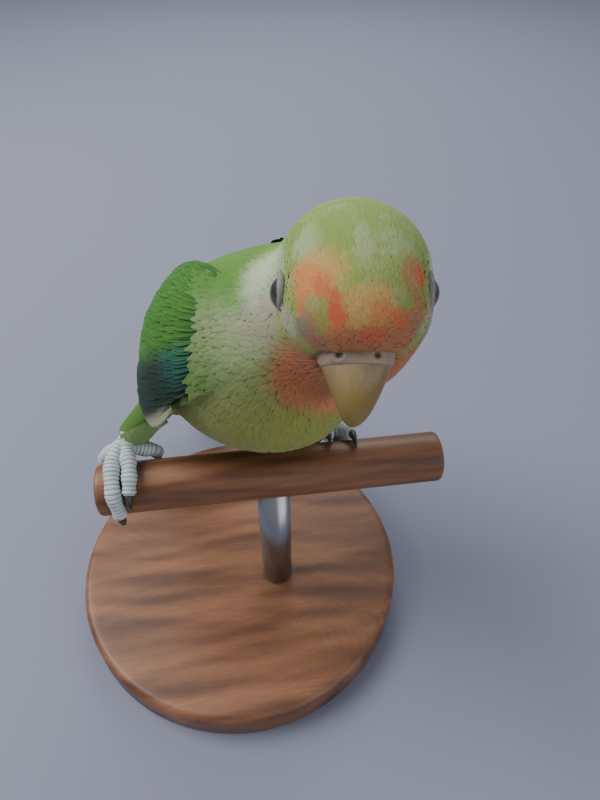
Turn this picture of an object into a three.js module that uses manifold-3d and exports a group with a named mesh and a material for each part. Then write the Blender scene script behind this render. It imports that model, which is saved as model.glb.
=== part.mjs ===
// A peach-faced lovebird at life size, perched on a cut length of branch on a plain display stand.
// Millimetres, +Z up. The origin is the centre of the underside of the stand's base. The bird looks
// towards -Y, and its left is +X.
import * as THREE from "three";
import Module from "manifold-3d";

const wasm = await Module();
wasm.setup();

// Clear gap that touching pieces keep.
const gap = 0.3;
const degrees = Math.PI / 180;

// Driving sizes.
const stand = { baseRadius: 44, baseHeight: 9, baseEdge: 2, rodRadius: 4 };
const perch = { centre: [0, -6, 54], radius: 5.8, length: 78, shift: 10, endRound: 1 };
const torsoPose = { centre: [6.8, 9.5, 27], heading: 20, pitch: 45, roll: 0 };
const headPose = { centre: [23.2, -11.64, 55], heading: -7.4, pitch: -10, roll: 0 };
const sides = { right: -1, left: 1 };
const eye = { radius: 3, forward: -0.2, up: 1.4, sunk: 3.25, lidRadius: 2.95, lidThick: 0.65, lidSunk: 0.8 };

const vec = (x, y, z) => new THREE.Vector3(x, y, z);
const mix = (a, b, t) => a + (b - a) * t;
const clamp01 = (t) => Math.min(1, Math.max(0, t));

// A frame whose axes are forward, left and up. Heading turns from -Y towards +X, pitch lifts the
// forward axis, and roll leans the up axis to the left.
function frameOf(pose) {
  const h = pose.heading * degrees;
  const p = pose.pitch * degrees;
  const r = pose.roll * degrees;
  const flat = vec(Math.sin(h), -Math.cos(h), 0);
  const side = vec(Math.cos(h), Math.sin(h), 0);
  const forward = flat.clone().multiplyScalar(Math.cos(p)).add(vec(0, 0, Math.sin(p)));
  const lift = flat.clone().multiplyScalar(-Math.sin(p)).add(vec(0, 0, Math.cos(p)));
  const left = side.clone().multiplyScalar(Math.cos(r)).addScaledVector(lift, -Math.sin(r));
  const up = lift.clone().multiplyScalar(Math.cos(r)).addScaledVector(side, Math.sin(r));
  const at = vec(...perch.centre).add(vec(...pose.centre));
  return new THREE.Matrix4().makeBasis(forward, left, up).setPosition(at);
}

const torsoFrame = frameOf(torsoPose);
const headFrame = frameOf(headPose);
const inTorso = (x, y, z) => vec(x, y, z).applyMatrix4(torsoFrame);
const inHead = (x, y, z) => vec(x, y, z).applyMatrix4(headFrame);

// Distance fields. Each is negative inside its form.
function ellipsoid(frame, centre, radii) {
  const inverse = frame.clone().invert();
  const middle = vec(...centre);
  const p = vec(0, 0, 0);
  return (q) => {
    p.copy(q).applyMatrix4(inverse).sub(middle);
    const [x, y, z] = [p.x / radii[0], p.y / radii[1], p.z / radii[2]];
    const k0 = Math.hypot(x, y, z);
    const k1 = Math.hypot(x / radii[0], y / radii[1], z / radii[2]);
    return k1 < 1e-9 ? -Math.min(...radii) : (k0 * (k0 - 1)) / k1;
  };
}

// A cone with round ends from a to b.
function roundCone(a, b, radiusA, radiusB) {
  const along = b.clone().sub(a);
  const lengthSquared = along.lengthSq();
  const p = vec(0, 0, 0);
  return (q) => {
    p.copy(q).sub(a);
    const t = clamp01(p.dot(along) / lengthSquared);
    return p.addScaledVector(along, -t).length() - mix(radiusA, radiusB, t);
  };
}

// The union of two fields with a fillet of about k.
function blend(a, b, k) {
  const h = Math.max(k - Math.abs(a - b), 0) / k;
  return Math.min(a, b) - (h * h * k) / 4;
}

function blended(fields, k) {
  return (q) => fields.map((f) => f(q)).reduce((a, b) => blend(a, b, k));
}

const torsoField = blended(
  [
    ellipsoid(torsoFrame, [2, -0.6, 1], [30, 18, 17.2]),
    ellipsoid(torsoFrame, [10, 1, -1], [19, 17.5, 15.8]),
    ellipsoid(torsoFrame, [-14, 0, -1], [24, 14, 12.5]),
    ellipsoid(torsoFrame, [-32, 0, 1], [22, 9.5, 7.5]),
  ],
  6,
);
const headField = blended(
  [
    ellipsoid(headFrame, [-4, 0, 1], [13, 12.2, 11.4]),
    ellipsoid(headFrame, [-2, 0, -4.5], [11, 12.2, 9]),
    ellipsoid(headFrame, [4.4, 0, 2.3], [6.8, 9, 7.3]),
    ellipsoid(headFrame, [3.5, 0, -8.5], [6.5, 7, 5.5]),
  ],
  5,
);
const neckRoot = inTorso(15, 0, 1);
const neckTop = inHead(-10, 0.5, -6);
const neckField = blended(
  [roundCone(neckRoot, neckTop, 13.5, 9), roundCone(inTorso(12, 3, -4), inHead(-5, 0, -11), 13, 7)],
  4,
);

function bodyField(q) {
  return blend(blend(torsoField(q), neckField(q), 11), headField(q), 4);
}

// The distance from a point along a way to where a field reaches a level, or the reach if it never does.
function reachOf(field, from, way, reach, level) {
  const p = vec(0, 0, 0);
  let [near, far] = [0, reach];
  for (let n = 0; n < 22; n++) {
    const middle = (near + far) / 2;
    if (field(p.copy(from).addScaledVector(way, middle)) < level) near = middle;
    else far = middle;
  }
  return near;
}

// A closed skin on a field round a centre, with its poles on the frame's forward axis.
function roundSkin(field, frame, centre, rows, sides, reach, level = 0) {
  const from = vec(...centre).applyMatrix4(frame);
  const hit = (x, y, z) => {
    const way = vec(x, y, z).transformDirection(frame);
    return from.clone().addScaledVector(way, reachOf(field, from, way, reach, level));
  };
  const rings = [];
  for (let i = 1; i < rows; i++) {
    const polar = (Math.PI * i) / rows;
    rings.push(
      Array.from({ length: sides }, (_, j) => {
        const turn = (2 * Math.PI * (j + (i % 2) / 2)) / sides;
        return hit(Math.cos(polar), Math.sin(polar) * Math.sin(turn), Math.sin(polar) * Math.cos(turn));
      }),
    );
  }
  return loft(rings, hit(1, 0, 0), hit(-1, 0, 0));
}

// A closed skin on a field along the frame's forward axis, as rings at the given stations.
function longSkin(field, frame, stations, sides, reach, level = 0) {
  const ring = (x) => {
    const from = vec(x, 0, 0).applyMatrix4(frame);
    return Array.from({ length: sides }, (_, j) => {
      const turn = (2 * Math.PI * j) / sides;
      const way = vec(0, Math.sin(turn), Math.cos(turn)).transformDirection(frame);
      return from.clone().addScaledVector(way, reachOf(field, from, way, reach, level));
    });
  };
  const end = (x, sign) => {
    const from = vec(x, 0, 0).applyMatrix4(frame);
    const way = vec(sign, 0, 0).transformDirection(frame);
    return from.clone().addScaledVector(way, reachOf(field, from, way, 8, level));
  };
  return loft(stations.map(ring), end(stations[0], -1), end(stations[stations.length - 1], 1));
}

// The half of space on the far side of a point along a way, as a large block.
function halfSpace(point, way) {
  const size = 200;
  const block = new THREE.BoxGeometry(size, size, size);
  const turn = new THREE.Quaternion().setFromUnitVectors(vec(0, 0, 1), way.clone().normalize());
  block.translate(0, 0, size / 2).applyQuaternion(turn).translate(point.x, point.y, point.z);
  return solidFromGeometry(block);
}

function solidOf(points, triangles) {
  const vertProperties = new Float32Array(points.length * 3);
  points.forEach((p, i) => vertProperties.set([p.x, p.y, p.z], i * 3));
  const triVerts = new Uint32Array(triangles);
  return new wasm.Manifold(new wasm.Mesh({ numProp: 3, vertProperties, triVerts }));
}

// Rings of equal count joined into a closed skin, with a point at each end.
function loft(rings, first, last) {
  const sides = rings[0].length;
  const points = [...rings.flat(), first, last];
  const triangles = [];
  for (let j = 0; j < sides; j++) {
    const n = (j + 1) % sides;
    triangles.push(points.length - 2, n, j);
    const top = (rings.length - 1) * sides;
    triangles.push(points.length - 1, top + j, top + n);
    for (let i = 0; i < rings.length - 1; i++) {
      const [a, b, c, d] = [i * sides + j, i * sides + n, (i + 1) * sides + n, (i + 1) * sides + j];
      triangles.push(a, b, c, a, c, d);
    }
  }
  const made = solidOf(points, triangles);
  return made.volume() < 0 ? solidOf(points, triangles.reverse()) : made;
}

// A closed sheet: place(u, v) gives its outer point and the way in, thick(u, v) its thickness.
function sheet(across, along, place, thick) {
  const points = [];
  for (const side of [0, 1])
    for (let i = 0; i <= along; i++)
      for (let j = 0; j <= across; j++) {
        const { point, inward } = place(i / along, (j / across) * 2 - 1);
        points.push(point.clone().addScaledVector(inward, side * thick(i / along, (j / across) * 2 - 1)));
      }
  const layer = (along + 1) * (across + 1);
  const at = (i, j, side) => side * layer + i * (across + 1) + j;
  const triangles = [];
  for (let i = 0; i < along; i++)
    for (let j = 0; j < across; j++) {
      const [a, b, c, d, e, f, g, h] = [0, 1].flatMap((side) => [
        at(i, j, side), at(i, j + 1, side), at(i + 1, j + 1, side), at(i + 1, j, side),
      ]);
      triangles.push(a, b, c, a, c, d, e, g, f, e, h, g);
    }
  const wall = (a, b, c, d) => triangles.push(a, c, b, a, d, c);
  for (let j = 0; j < across; j++) {
    wall(at(0, j, 0), at(0, j + 1, 0), at(0, j + 1, 1), at(0, j, 1));
    wall(at(along, j + 1, 0), at(along, j, 0), at(along, j, 1), at(along, j + 1, 1));
  }
  for (let i = 0; i < along; i++) {
    wall(at(i + 1, 0, 0), at(i, 0, 0), at(i, 0, 1), at(i + 1, 0, 1));
    wall(at(i, across, 0), at(i + 1, across, 0), at(i + 1, across, 1), at(i, across, 1));
  }
  const made = solidOf(points, triangles);
  return made.volume() < 0 ? solidOf(points, triangles.reverse()) : made;
}

function largest(solid) {
  return solid.decompose().sort((a, b) => b.volume() - a.volume())[0];
}

function joined(solids) {
  return solids.reduce((a, b) => a.add(b));
}

function beyond(solid, point, way) {
  return solid.intersect(halfSpace(point, way));
}

const group = new THREE.Group();
function addNode(name, solid, colour, roughness) {
  const mesh = largest(solid).getMesh();
  const geometry = new THREE.BufferGeometry();
  geometry.setAttribute("position", new THREE.BufferAttribute(new Float32Array(mesh.vertProperties), 3));
  geometry.setIndex(new THREE.BufferAttribute(new Uint32Array(mesh.triVerts), 1));
  geometry.computeVertexNormals();
  const material = new THREE.MeshStandardMaterial({ color: colour, roughness, metalness: 0 });
  const node = new THREE.Mesh(geometry, material);
  node.name = name;
  group.add(node);
}

// Cuts across the neck, from the torso's end to the head's.
const neckWay = neckTop.clone().sub(neckRoot).normalize();
const neckStart = neckRoot.clone().addScaledVector(neckWay, 4);
const headCutWay = vec(0.6, 0.6, 0.62).normalize().transformDirection(headFrame);
const headStart = inHead(-3, 0, -1).addScaledVector(headCutWay, -6.3);

// Stations along the torso, closer together towards its narrow end.
const torsoStations = Array.from({ length: 23 }, (_, i) => mix(-53, 31, (i / 22) ** 0.9));
const torsoSides = 26;
const torsoReach = 34;

// The parts of a solid before and after a cut, half a gap away from it.
const before = (solid, point, way) =>
  beyond(solid, point.clone().addScaledVector(way, -gap / 2), way.clone().negate());
const after = (solid, point, way) => beyond(solid, point.clone().addScaledVector(way, gap / 2), way);

function torso() {
  const skin = longSkin(bodyField, torsoFrame, torsoStations, torsoSides, torsoReach);
  return before(before(skin, neckStart, neckWay), headStart, headCutWay);
}

function neck() {
  const middle = neckStart.clone().lerp(headStart, 0.5).applyMatrix4(headFrame.clone().invert());
  const skin = roundSkin(bodyField, headFrame, middle.toArray(), 14, 22, 27);
  return before(after(skin, neckStart, neckWay), headStart, headCutWay);
}

function head(holes, lids) {
  const skin = roundSkin(bodyField, headFrame, [-2, 0.5, -3], 18, 26, 26);
  return holes.reduce((a, b) => a.subtract(b), after(joined([skin, ...lids]), headStart, headCutWay));
}

function ball(frame, centre, radius, rows, sides) {
  const rings = [];
  for (let i = 1; i < rows; i++) {
    const polar = (Math.PI * i) / rows;
    rings.push(
      Array.from({ length: sides }, (_, j) => {
        const turn = (2 * Math.PI * j) / sides;
        const flat = radius * Math.sin(polar);
        return vec(
          centre[0] + flat * Math.cos(turn),
          centre[1] + radius * Math.cos(polar),
          centre[2] + flat * Math.sin(turn),
        ).applyMatrix4(frame);
      }),
    );
  }
  const pole = (sign) => vec(centre[0], centre[1] + sign * radius, centre[2]).applyMatrix4(frame);
  return loft(rings, pole(1), pole(-1));
}

// How far the side of the head is from its middle at the eye.
const leftWay = vec(0, 1, 0).transformDirection(headFrame);
const cheekAt = reachOf(headField, inHead(eye.forward, 0, eye.up), leftWay, 20, 0);
const eyeCentre = (side) => [eye.forward, side * (cheekAt - eye.sunk), eye.up];

// The bare ring of lid round an eye.
function eyeLid(side) {
  const geometry = new THREE.TorusGeometry(eye.lidRadius, eye.lidThick, 5, 14);
  const turned = new THREE.Matrix4().makeBasis(vec(1, 0, 0), vec(0, 0, 1), vec(0, -1, 0));
  turned.setPosition(eye.forward, side * (cheekAt - eye.lidSunk), eye.up);
  geometry.applyMatrix4(turned).applyMatrix4(headFrame);
  return solidFromGeometry(geometry);
}

// A three.js geometry with its seams closed, as a solid.
function solidFromGeometry(geometry) {
  const position = geometry.getAttribute("position");
  const points = [];
  const seen = new Map();
  const indexOf = [];
  for (let i = 0; i < position.count; i++) {
    const p = vec(position.getX(i), position.getY(i), position.getZ(i));
    const key = p.toArray().map((n) => Math.round(n * 1e4)).join();
    if (!seen.has(key)) seen.set(key, points.push(p) - 1);
    indexOf.push(seen.get(key));
  }
  const source = geometry.index ? [...geometry.index.array] : [...indexOf.keys()];
  const triangles = [];
  for (let i = 0; i < source.length; i += 3) {
    const [a, b, c] = [0, 1, 2].map((n) => indexOf[source[i + n]]);
    if (a !== b && b !== c && a !== c) triangles.push(a, b, c);
  }
  const made = solidOf(points, triangles);
  return made.volume() < 0 ? solidOf(points, triangles.reverse()) : made;
}

// The upper bill in the head's frame: sections between the ridge, a round arc, and the cutting edge.
const bill = {
  arcForward: 7.35, arcUp: -7.4, arcRadius: 9.25, arcStart: 80, arcEnd: -50,
  width: 10.8, sections: 12, sides: 14,
};
function upperBill(grow) {
  const { arcForward, arcUp, arcRadius, arcStart, arcEnd } = bill;
  const ridge = (t) => {
    const turn = mix(arcStart, arcEnd, t) * degrees;
    return vec(arcForward + arcRadius * Math.cos(turn), 0, arcUp + arcRadius * Math.sin(turn));
  };
  const edge = (t) => vec(mix(4.2, 12.6, t ** 0.9), 0, mix(-5.4, -13.4, t ** 2.2));
  const rings = [];
  for (let i = 0; i < bill.sections; i++) {
    const t = (i / (bill.sections - 1)) * 0.985;
    const [top, low] = [ridge(t), edge(t)];
    const middle = top.clone().lerp(low, 0.5);
    const half = top.clone().sub(low).multiplyScalar(0.5);
    const tall = half.length() + grow;
    half.normalize();
    const wide = (bill.width / 2) * Math.min(1, 1.23 - 1.1 * t) + grow;
    rings.push(
      Array.from({ length: bill.sides }, (_, j) => {
        const turn = (2 * Math.PI * j) / bill.sides;
        const at = middle.clone().addScaledVector(half, tall * Math.cos(turn));
        at.y += wide * Math.sin(turn) * (1 + 0.12 * Math.cos(turn));
        return at.applyMatrix4(headFrame);
      }),
    );
  }
  const start = ridge(0).lerp(edge(0), 0.5).add(vec(-grow, 0, 0));
  const tip = ridge(1).lerp(edge(1), 0.5).add(vec(0, 0, -grow));
  return loft(rings, start.applyMatrix4(headFrame), tip.applyMatrix4(headFrame));
}

// The cere is the soft band across the root of the upper bill, with a nostril on each side of its top.
const cere = {
  swell: 0.35, edge: [12.6, 0, 0.2], way: [0.88, 0, -0.47], nostril: [11.3, 2.8, 0.7], nostrilRadius: 0.65,
};
const billWay = vec(...cere.way).normalize().transformDirection(headFrame);

function lowerBill(grow) {
  const rings = [];
  const sections = 7;
  for (let i = 0; i < sections; i++) {
    const t = i / (sections - 1);
    const middle = vec(mix(3.5, 11.2, t), 0, mix(-9.6, -10.6, t) - 1.2 * Math.sin(Math.PI * t));
    const wide = mix(4.3, 2.6, t ** 1.5) * (1 - 0.35 * t ** 4) + grow;
    const tall = mix(3.6, 1.7, t) + grow;
    rings.push(
      Array.from({ length: 12 }, (_, j) => {
        const turn = (2 * Math.PI * j) / 12;
        const out = vec(0, wide * Math.sin(turn), tall * Math.cos(turn));
        return middle.clone().add(out).applyMatrix4(headFrame);
      }),
    );
  }
  return loft(rings, inHead(3 - grow, 0, -9.6), inHead(11.9 + grow, 0, -10.5));
}

// Places round the perch, which lies along X. s runs along it from the middle between the feet, phi from its
// top towards the front, and r from its axis.
function roundPerch(s, phi, r) {
  const [x, y, z] = perch.centre;
  const turn = phi * degrees;
  return vec(x + s, y - r * Math.sin(turn), z + r * Math.cos(turn));
}

function perchSolid(grow) {
  const half = perch.length / 2 + grow;
  const radius = perch.radius + grow;
  const profile = [[half, radius - perch.endRound], [half - perch.endRound, radius]];
  const rings = [...profile, ...[...profile].reverse().map(([s, r]) => [-s, r])].map(([s, r]) =>
    Array.from({ length: 32 }, (_, j) => roundPerch(s + perch.shift, (360 * j) / 32, r)),
  );
  return loft(rings, roundPerch(half + perch.shift, 0, 0), roundPerch(-half + perch.shift, 0, 0));
}

function post() {
  const [x, y, top] = perch.centre;
  const length = top - stand.baseHeight - gap;
  const geometry = new THREE.CylinderGeometry(stand.rodRadius, stand.rodRadius, length, 24);
  geometry.rotateX(Math.PI / 2).translate(x + perch.shift, y, stand.baseHeight + gap + length / 2);
  return solidFromGeometry(geometry).subtract(perchSolid(gap));
}

function standBase() {
  const { baseRadius, baseHeight, baseEdge } = stand;
  const chamfer = 0.6;
  const profile = [[0, 0], [baseRadius - chamfer, 0], [baseRadius, chamfer]];
  for (const turn of [0, Math.PI / 4, Math.PI / 2]) {
    const out = baseEdge * (Math.cos(turn) - 1);
    profile.push([baseRadius + out, baseHeight + baseEdge * (Math.sin(turn) - 1)]);
  }
  profile.push([0, baseHeight]);
  const geometry = new THREE.LatheGeometry(profile.map(([r, z]) => new THREE.Vector2(r, z)), 36);
  return solidFromGeometry(geometry.rotateX(Math.PI / 2));
}

// Feet. Each toe is a list of places round the perch: along, angle and height over its bark.
const toeRadius = { root: 1.9, tip: 1.45 };
const shankRadius = { ankle: 2.3, knuckle: 2.1 };
const toeSides = 7;
const scute = { pitch: 2.3, ridge: 0.14, groove: -0.1 };
const feet = {
  right: {
    ankle: [[-19.1, -56, 8.4], [-21.8, -32, 4.3]],
    toes: [
      { name: 1, places: [[-21.6, -33, 3.4], [-18.7, -42, 2.4], [-16.3, -52, 1.7], [-15.8, -68, 1.4]], claw: 4.5 },
      { name: 2, places: [[-21.9, -26, 3.6], [-21, -3, 2.2], [-20.8, 22, 1.5], [-21.1, 52, 1.4]], claw: 4 },
      { name: 3, places: [[-22.8, -27, 3.8], [-24.3, -4, 2.3], [-24.4, 44, 1.5], [-23.7, 96, 1.4]], claw: 5.5 },
      { name: 4, places: [[-22.6, -34, 3.5], [-25.6, -45, 2], [-27.6, -70, 1.4], [-27.8, -104, 1.4]], claw: 5.5 },
    ],
  },
  left: {
    ankle: [[19.5, -70, 11], [23, -70, 5]],
    toes: [
      { name: 1, places: [[22.5, -70, 3.2], [20, -92, 1.6], [19, -122, 1.4], [19, -150, 1.4]], claw: 5 },
      { name: 2, places: [[24, -66, 3.2], [23.6, -58, 2.1], [23.4, -47, 1.5], [23.4, -36, 1.4]], claw: 4.5 },
      { name: 3, places: [[25, -66, 3.2], [27, -54, 2], [28.3, -40, 1.5], [28.9, -26, 1.4]], claw: 5 },
      { name: 4, places: [[25, -70, 3.2], [27.5, -92, 1.6], [28.4, -124, 1.4], [28, -156, 1.4]], claw: 5.5 },
    ],
  },
};

function toePath(places) {
  return new THREE.CatmullRomCurve3(
    places.map(([s, phi, high]) => roundPerch(s, phi, perch.radius + gap + high)),
    false,
    "centripetal",
  );
}

// A round tube on a curve, its radius given by radiusAt(t).
function tube(curve, steps, sides, radiusAt) {
  const rings = [];
  const up = vec(0.31, 0.2, 0.93).normalize();
  for (let i = 0; i <= steps; i++) {
    const t = i / steps;
    const way = curve.getTangentAt(t);
    const a = up.clone().cross(way).normalize();
    const b = way.clone().cross(a);
    const at = curve.getPointAt(t);
    rings.push(
      Array.from({ length: sides }, (_, j) => {
        const turn = (2 * Math.PI * j) / sides;
        const r = radiusAt(t);
        return at.clone().addScaledVector(a, r * Math.cos(turn)).addScaledVector(b, r * Math.sin(turn));
      }),
    );
  }
  return loft(rings, curve.getPointAt(0), curve.getPointAt(1));
}

// A toe or shank with raised rings of scutes.
function scaled(curve, radiusA, radiusB) {
  const steps = 2 * Math.max(3, Math.round(curve.getLength() / scute.pitch));
  return tube(curve, steps, toeSides, (t) => {
    return mix(radiusA, radiusB, t) + (Math.round(t * steps) % 2 ? scute.ridge : scute.groove);
  });
}

function shankPath(side) {
  const [ankle, knuckle] = feet[side].ankle;
  return toePath([ankle, knuckle, [knuckle[0] - 0.3, knuckle[1] + 3, 2.6]]);
}

function foot(side) {
  const toes = feet[side].toes.map(({ places }) => scaled(toePath(places), toeRadius.root, toeRadius.tip));
  const shank = scaled(shankPath(side), shankRadius.ankle, shankRadius.knuckle);
  return joined([shank, ...toes]).subtract(perchSolid(gap));
}

// A claw curves on from its toe's end, round the perch, and narrows to a blunt point.
const clawShape = { high: 1.5, arch: 0.5, drop: 0.75, radius: [1.15, 0.35] };
function claw(toe) {
  const { places } = toe;
  const [s, phi] = places[places.length - 1];
  const turnWay = Math.sign(phi - places[places.length - 2][1]);
  const perMm = 1 / ((perch.radius + 1.5) * degrees);
  const start = phi + turnWay * (gap + 0.15) * perMm;
  const high = (t) => gap + clawShape.high + clawShape.arch * Math.sin(Math.PI * t) - clawShape.drop * t;
  const curve = new THREE.CatmullRomCurve3(
    [0, 0.35, 0.7, 1].map((t) =>
      roundPerch(s, start + turnWay * toe.claw * t * perMm * 0.92, perch.radius + high(t)),
    ),
  );
  return tube(curve, 5, 6, (t) => mix(...clawShape.radius, t ** 1.2));
}

// The feathered lower leg, from the torso to the ankle.
const shins = { right: [[5, -15.5, -3], [-20.2, -43, 7.5]], left: [[-8, 10, -9], [19.5, -70, 11.5]] };
const shinRadius = { hip: 8, ankle: 3.2 };
function shin(side) {
  const [hip, ankle] = shins[side];
  const [along, angle, high] = ankle;
  const line = new THREE.LineCurve3(inTorso(...hip), roundPerch(along, angle, perch.radius + gap + high));
  const rounded = (t) => Math.sqrt(1 - 0.6 * (1 - Math.min(1, 4 * t)) ** 2);
  return tube(line, 8, 16, (t) => mix(shinRadius.hip, shinRadius.ankle, t ** 0.8) * rounded(t));
}

// The smooth form that the folded wings lie on: the torso drawn out over the tail.
const tailCone = roundCone(inTorso(-36, 0, 1), inTorso(-86, 0, -1), 9, 5);
const carrierField = (q) => blend(bodyField(q), tailCone(q), 9);

// The point over the carrier at x along the torso and an angle from the back towards a side.
function onCarrier(side, x, alpha, lift) {
  const turn = alpha * degrees;
  const way = vec(0, side * Math.sin(turn), Math.cos(turn)).transformDirection(torsoFrame);
  const from = inTorso(x, 0, 0);
  return from.addScaledVector(way, reachOf(carrierField, from, way, 40, lift));
}

// The pad of the folded wing over the side of the torso, which carries the roots of its feathers.
const pad = {
  front: { right: 28, left: 23 }, back: -19, top: 24, low: 110, bottom: 0.85, rim: 0.5, thick: 1.4,
};
function wingPad(name, grow) {
  const side = sides[name];
  const place = (u, v) => {
    const across = (v + 1) / 2;
    const x = mix(pad.front[name] + grow, pad.back - grow, u) - 6 * v * v * (1 - u);
    const alpha = mix(pad.top - 4 * grow, pad.low + 10 * grow, across) + 6 * (1 - u) * (1 - 2 * across);
    const swell = Math.sqrt(Math.max(0, 1 - v ** 4)) * Math.sqrt(Math.max(0, 1 - (1 - u) ** 4));
    const point = onCarrier(side, x, alpha, pad.bottom + pad.rim + grow + (pad.thick + 5 * grow) * swell);
    return { point, inward: onCarrier(side, x, alpha, pad.bottom - grow).sub(point) };
  };
  return sheet(6, 6, place, () => 1);
}

// A feather vane on the carrier, from its root to its rounded tip. Heights are those of its outer face over
// the carrier, at the root and the tip, and tilt raises its lower edge so that the vane below it is tucked
// under.
function wingVane(name, vane) {
  const side = sides[name];
  const place = (u, v) => {
    const x = mix(vane.root[0], vane.tip[0], u) + vane.round * v * v * u;
    const middle = mix(vane.root[1], vane.tip[1], u ** 0.85);
    const wide = vane.width * vaneOutline(u);
    const radius = onCarrier(side, x, middle, 0).distanceTo(inTorso(x, 0, 0));
    const alpha = middle + (v * wide) / 2 / radius / degrees;
    const high = mix(vane.high[0], vane.high[1], u) + (vane.tilt * v) / 2;
    const point = onCarrier(side, x, alpha, high);
    const thick = vane.thick * (u > 0.9 ? 0.55 : 1);
    return { point, inward: onCarrier(side, x, alpha, high - thick).sub(point) };
  };
  return sheet(vane.across, vane.steps, place, () => 1);
}

// The share of its full width that a vane has along its length.
function vaneOutline(u) {
  const round = 1 - 0.94 * clamp01((u - 0.7) / 0.3) ** 2;
  return mix(0.6, 1, clamp01(u * 3)) * Math.sqrt(round);
}

// Rows of the folded wing's feathers from the tail end forward. Roots and tips are [x, angle from the back],
// and the first and last vane of each row are given, from the back down.
const coverts = { width: 6.4, thick: 0.6, tilt: 1.5, across: 2, steps: 2, round: 2, curve: 1 };
const quills = { width: 8, thick: 0.9, across: 1, round: 0 };
const wingRows = [
  { ...quills, count: 6, tilt: 0.9, steps: 5, high: [2.1, 2.1], curve: 0.8,
    roots: [[-8, 66], [-2, 103]], tips: [[-50, 38], [-75, 50]] },
  { ...quills, count: 6, tilt: 1.2, steps: 3, high: [2.2, 2.9], curve: 1,
    roots: [[-11, 30], [-13, 84]], tips: [[-40, 20], [-46, 62]] },
  { ...coverts, count: 2, high: [2, 2.9], roots: [[3, 93], [9, 103]], tips: [[-15, 92], [-8, 103]] },
  { ...coverts, count: 5, high: [2.1, 3.6], roots: [[-4, 30], [-4, 84]], tips: [[-22, 26], [-22, 80]] },
  { ...coverts, count: 5, high: [2.1, 3.7], roots: [[6, 35], [6, 92]], tips: [[-10, 32], [-10, 90]] },
  { ...coverts, count: 5, high: [2.1, 3.7], roots: [[15, 40], [15, 97]], tips: [[1, 36], [1, 94]] },
];
function rowVanes(name, row) {
  return Array.from({ length: row.count }, (_, i) => {
    const t = i / (row.count - 1);
    const between = ([a, b], bend) => [mix(a[0], b[0], t ** bend), mix(a[1], b[1], t)];
    return wingVane(name, { ...row, root: between(row.roots, 1), tip: between(row.tips, row.curve) });
  });
}

function wing(name) {
  return joined([wingPad(name, 0), ...wingRows.flatMap((row) => rowVanes(name, row))]);
}

// The space that the wing takes up, which the thigh stays clear of.
const wingSpace = (name) => wingPad(name, 1);

// The tail: a flat core with five pairs of feathers, the middle pair on top, and coverts over and under
// their roots.
const tailCore = { root: -44, end: -58, halfWidth: [7.4, 6], top: [4.2, 2.6], bottom: [-3.4, -1.2] };
function tailRoot() {
  const place = (u, v) => {
    const x = mix(tailCore.root, tailCore.end, u);
    const half = mix(...tailCore.halfWidth, u) * (1 - 0.12 * u * u);
    const arch = 1 - 0.65 * v * v;
    const point = inTorso(x, v * half, mix(...tailCore.top, u) * arch);
    return { point, inward: inTorso(x, v * half, mix(...tailCore.bottom, u) * arch).sub(point) };
  };
  return sheet(6, 3, place, () => 1);
}

// A tail vane: root and tip as [x, y, z] in the torso's frame, flat and slightly domed over its shaft.
function tailVane(vane) {
  const [a, b] = [vec(...vane.root), vec(...vane.tip)];
  const across = b.clone().sub(a).cross(vec(0, 0, 1)).normalize().negate();
  const place = (u, v) => {
    const at = a.clone().lerp(b, u).addScaledVector(across, (v * vane.width * vaneOutline(u)) / 2);
    at.x += vane.round * v * v * u;
    at.z += -vane.dome * v * v;
    return {
      point: at.clone().applyMatrix4(torsoFrame),
      inward: vec(0, 0, -1).transformDirection(torsoFrame),
    };
  };
  return sheet(2, vane.steps, place, (u) => vane.thick * (u > 0.9 ? 0.6 : 1));
}

const tailSize = { feathers: 5, length: [-97, -88], width: 7.8, layer: 0.5, spread: [1.7, 8.2] };
function tail() {
  const vanes = [];
  for (const side of [-1, 1])
    for (let i = 0; i < tailSize.feathers; i++) {
      const t = i / (tailSize.feathers - 1);
      const z = 1.9 - tailSize.layer * i - (side > 0 ? 0.12 : 0);
      vanes.push(
        tailVane({
          root: [-47, side * mix(1, 4.4, t), z + 0.2],
          tip: [mix(...tailSize.length, t ** 1.6), side * mix(...tailSize.spread, t), z - 1.1 * t],
          width: tailSize.width, round: 3, dome: 0.35, thick: 0.75, steps: 3,
        }),
      );
    }
  for (const [i, y] of [-4.2, 4.2, 0].entries())
    vanes.push(
      tailVane({
        root: [-46 - i * 0.4, y * 0.8, 3.2 + i * 0.16], tip: [-66 - i * 2, y, 3.1 + i * 0.16],
        width: 7.4, round: 2, dome: 0.5, thick: 0.7, steps: 2,
      }),
    );
  for (const [i, y] of [-3.6, 3.6, 0].entries())
    vanes.push(
      tailVane({
        root: [-46, y * 0.8, -1.2 - i * 0.25], tip: [-69 - i * 2, y, -1.9 - i * 0.25],
        width: 7, round: 2, dome: -0.4, thick: 0.7, steps: 2,
      }),
    );
  return joined([tailRoot(), ...vanes]);
}

const green = 0x5f8f2c;
const wingGreen = 0x3f7a22;
const crownGreen = 0x9db85a;
const horn = 0xb5a36a;
const cereGrey = 0x9c8a86;
const footGrey = 0xa9b0ac;
const clawDark = 0x35302e;
const eyeDark = 0x120c0a;
const wood = 0x8a6546;
const steel = 0x9a9da0;

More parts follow.
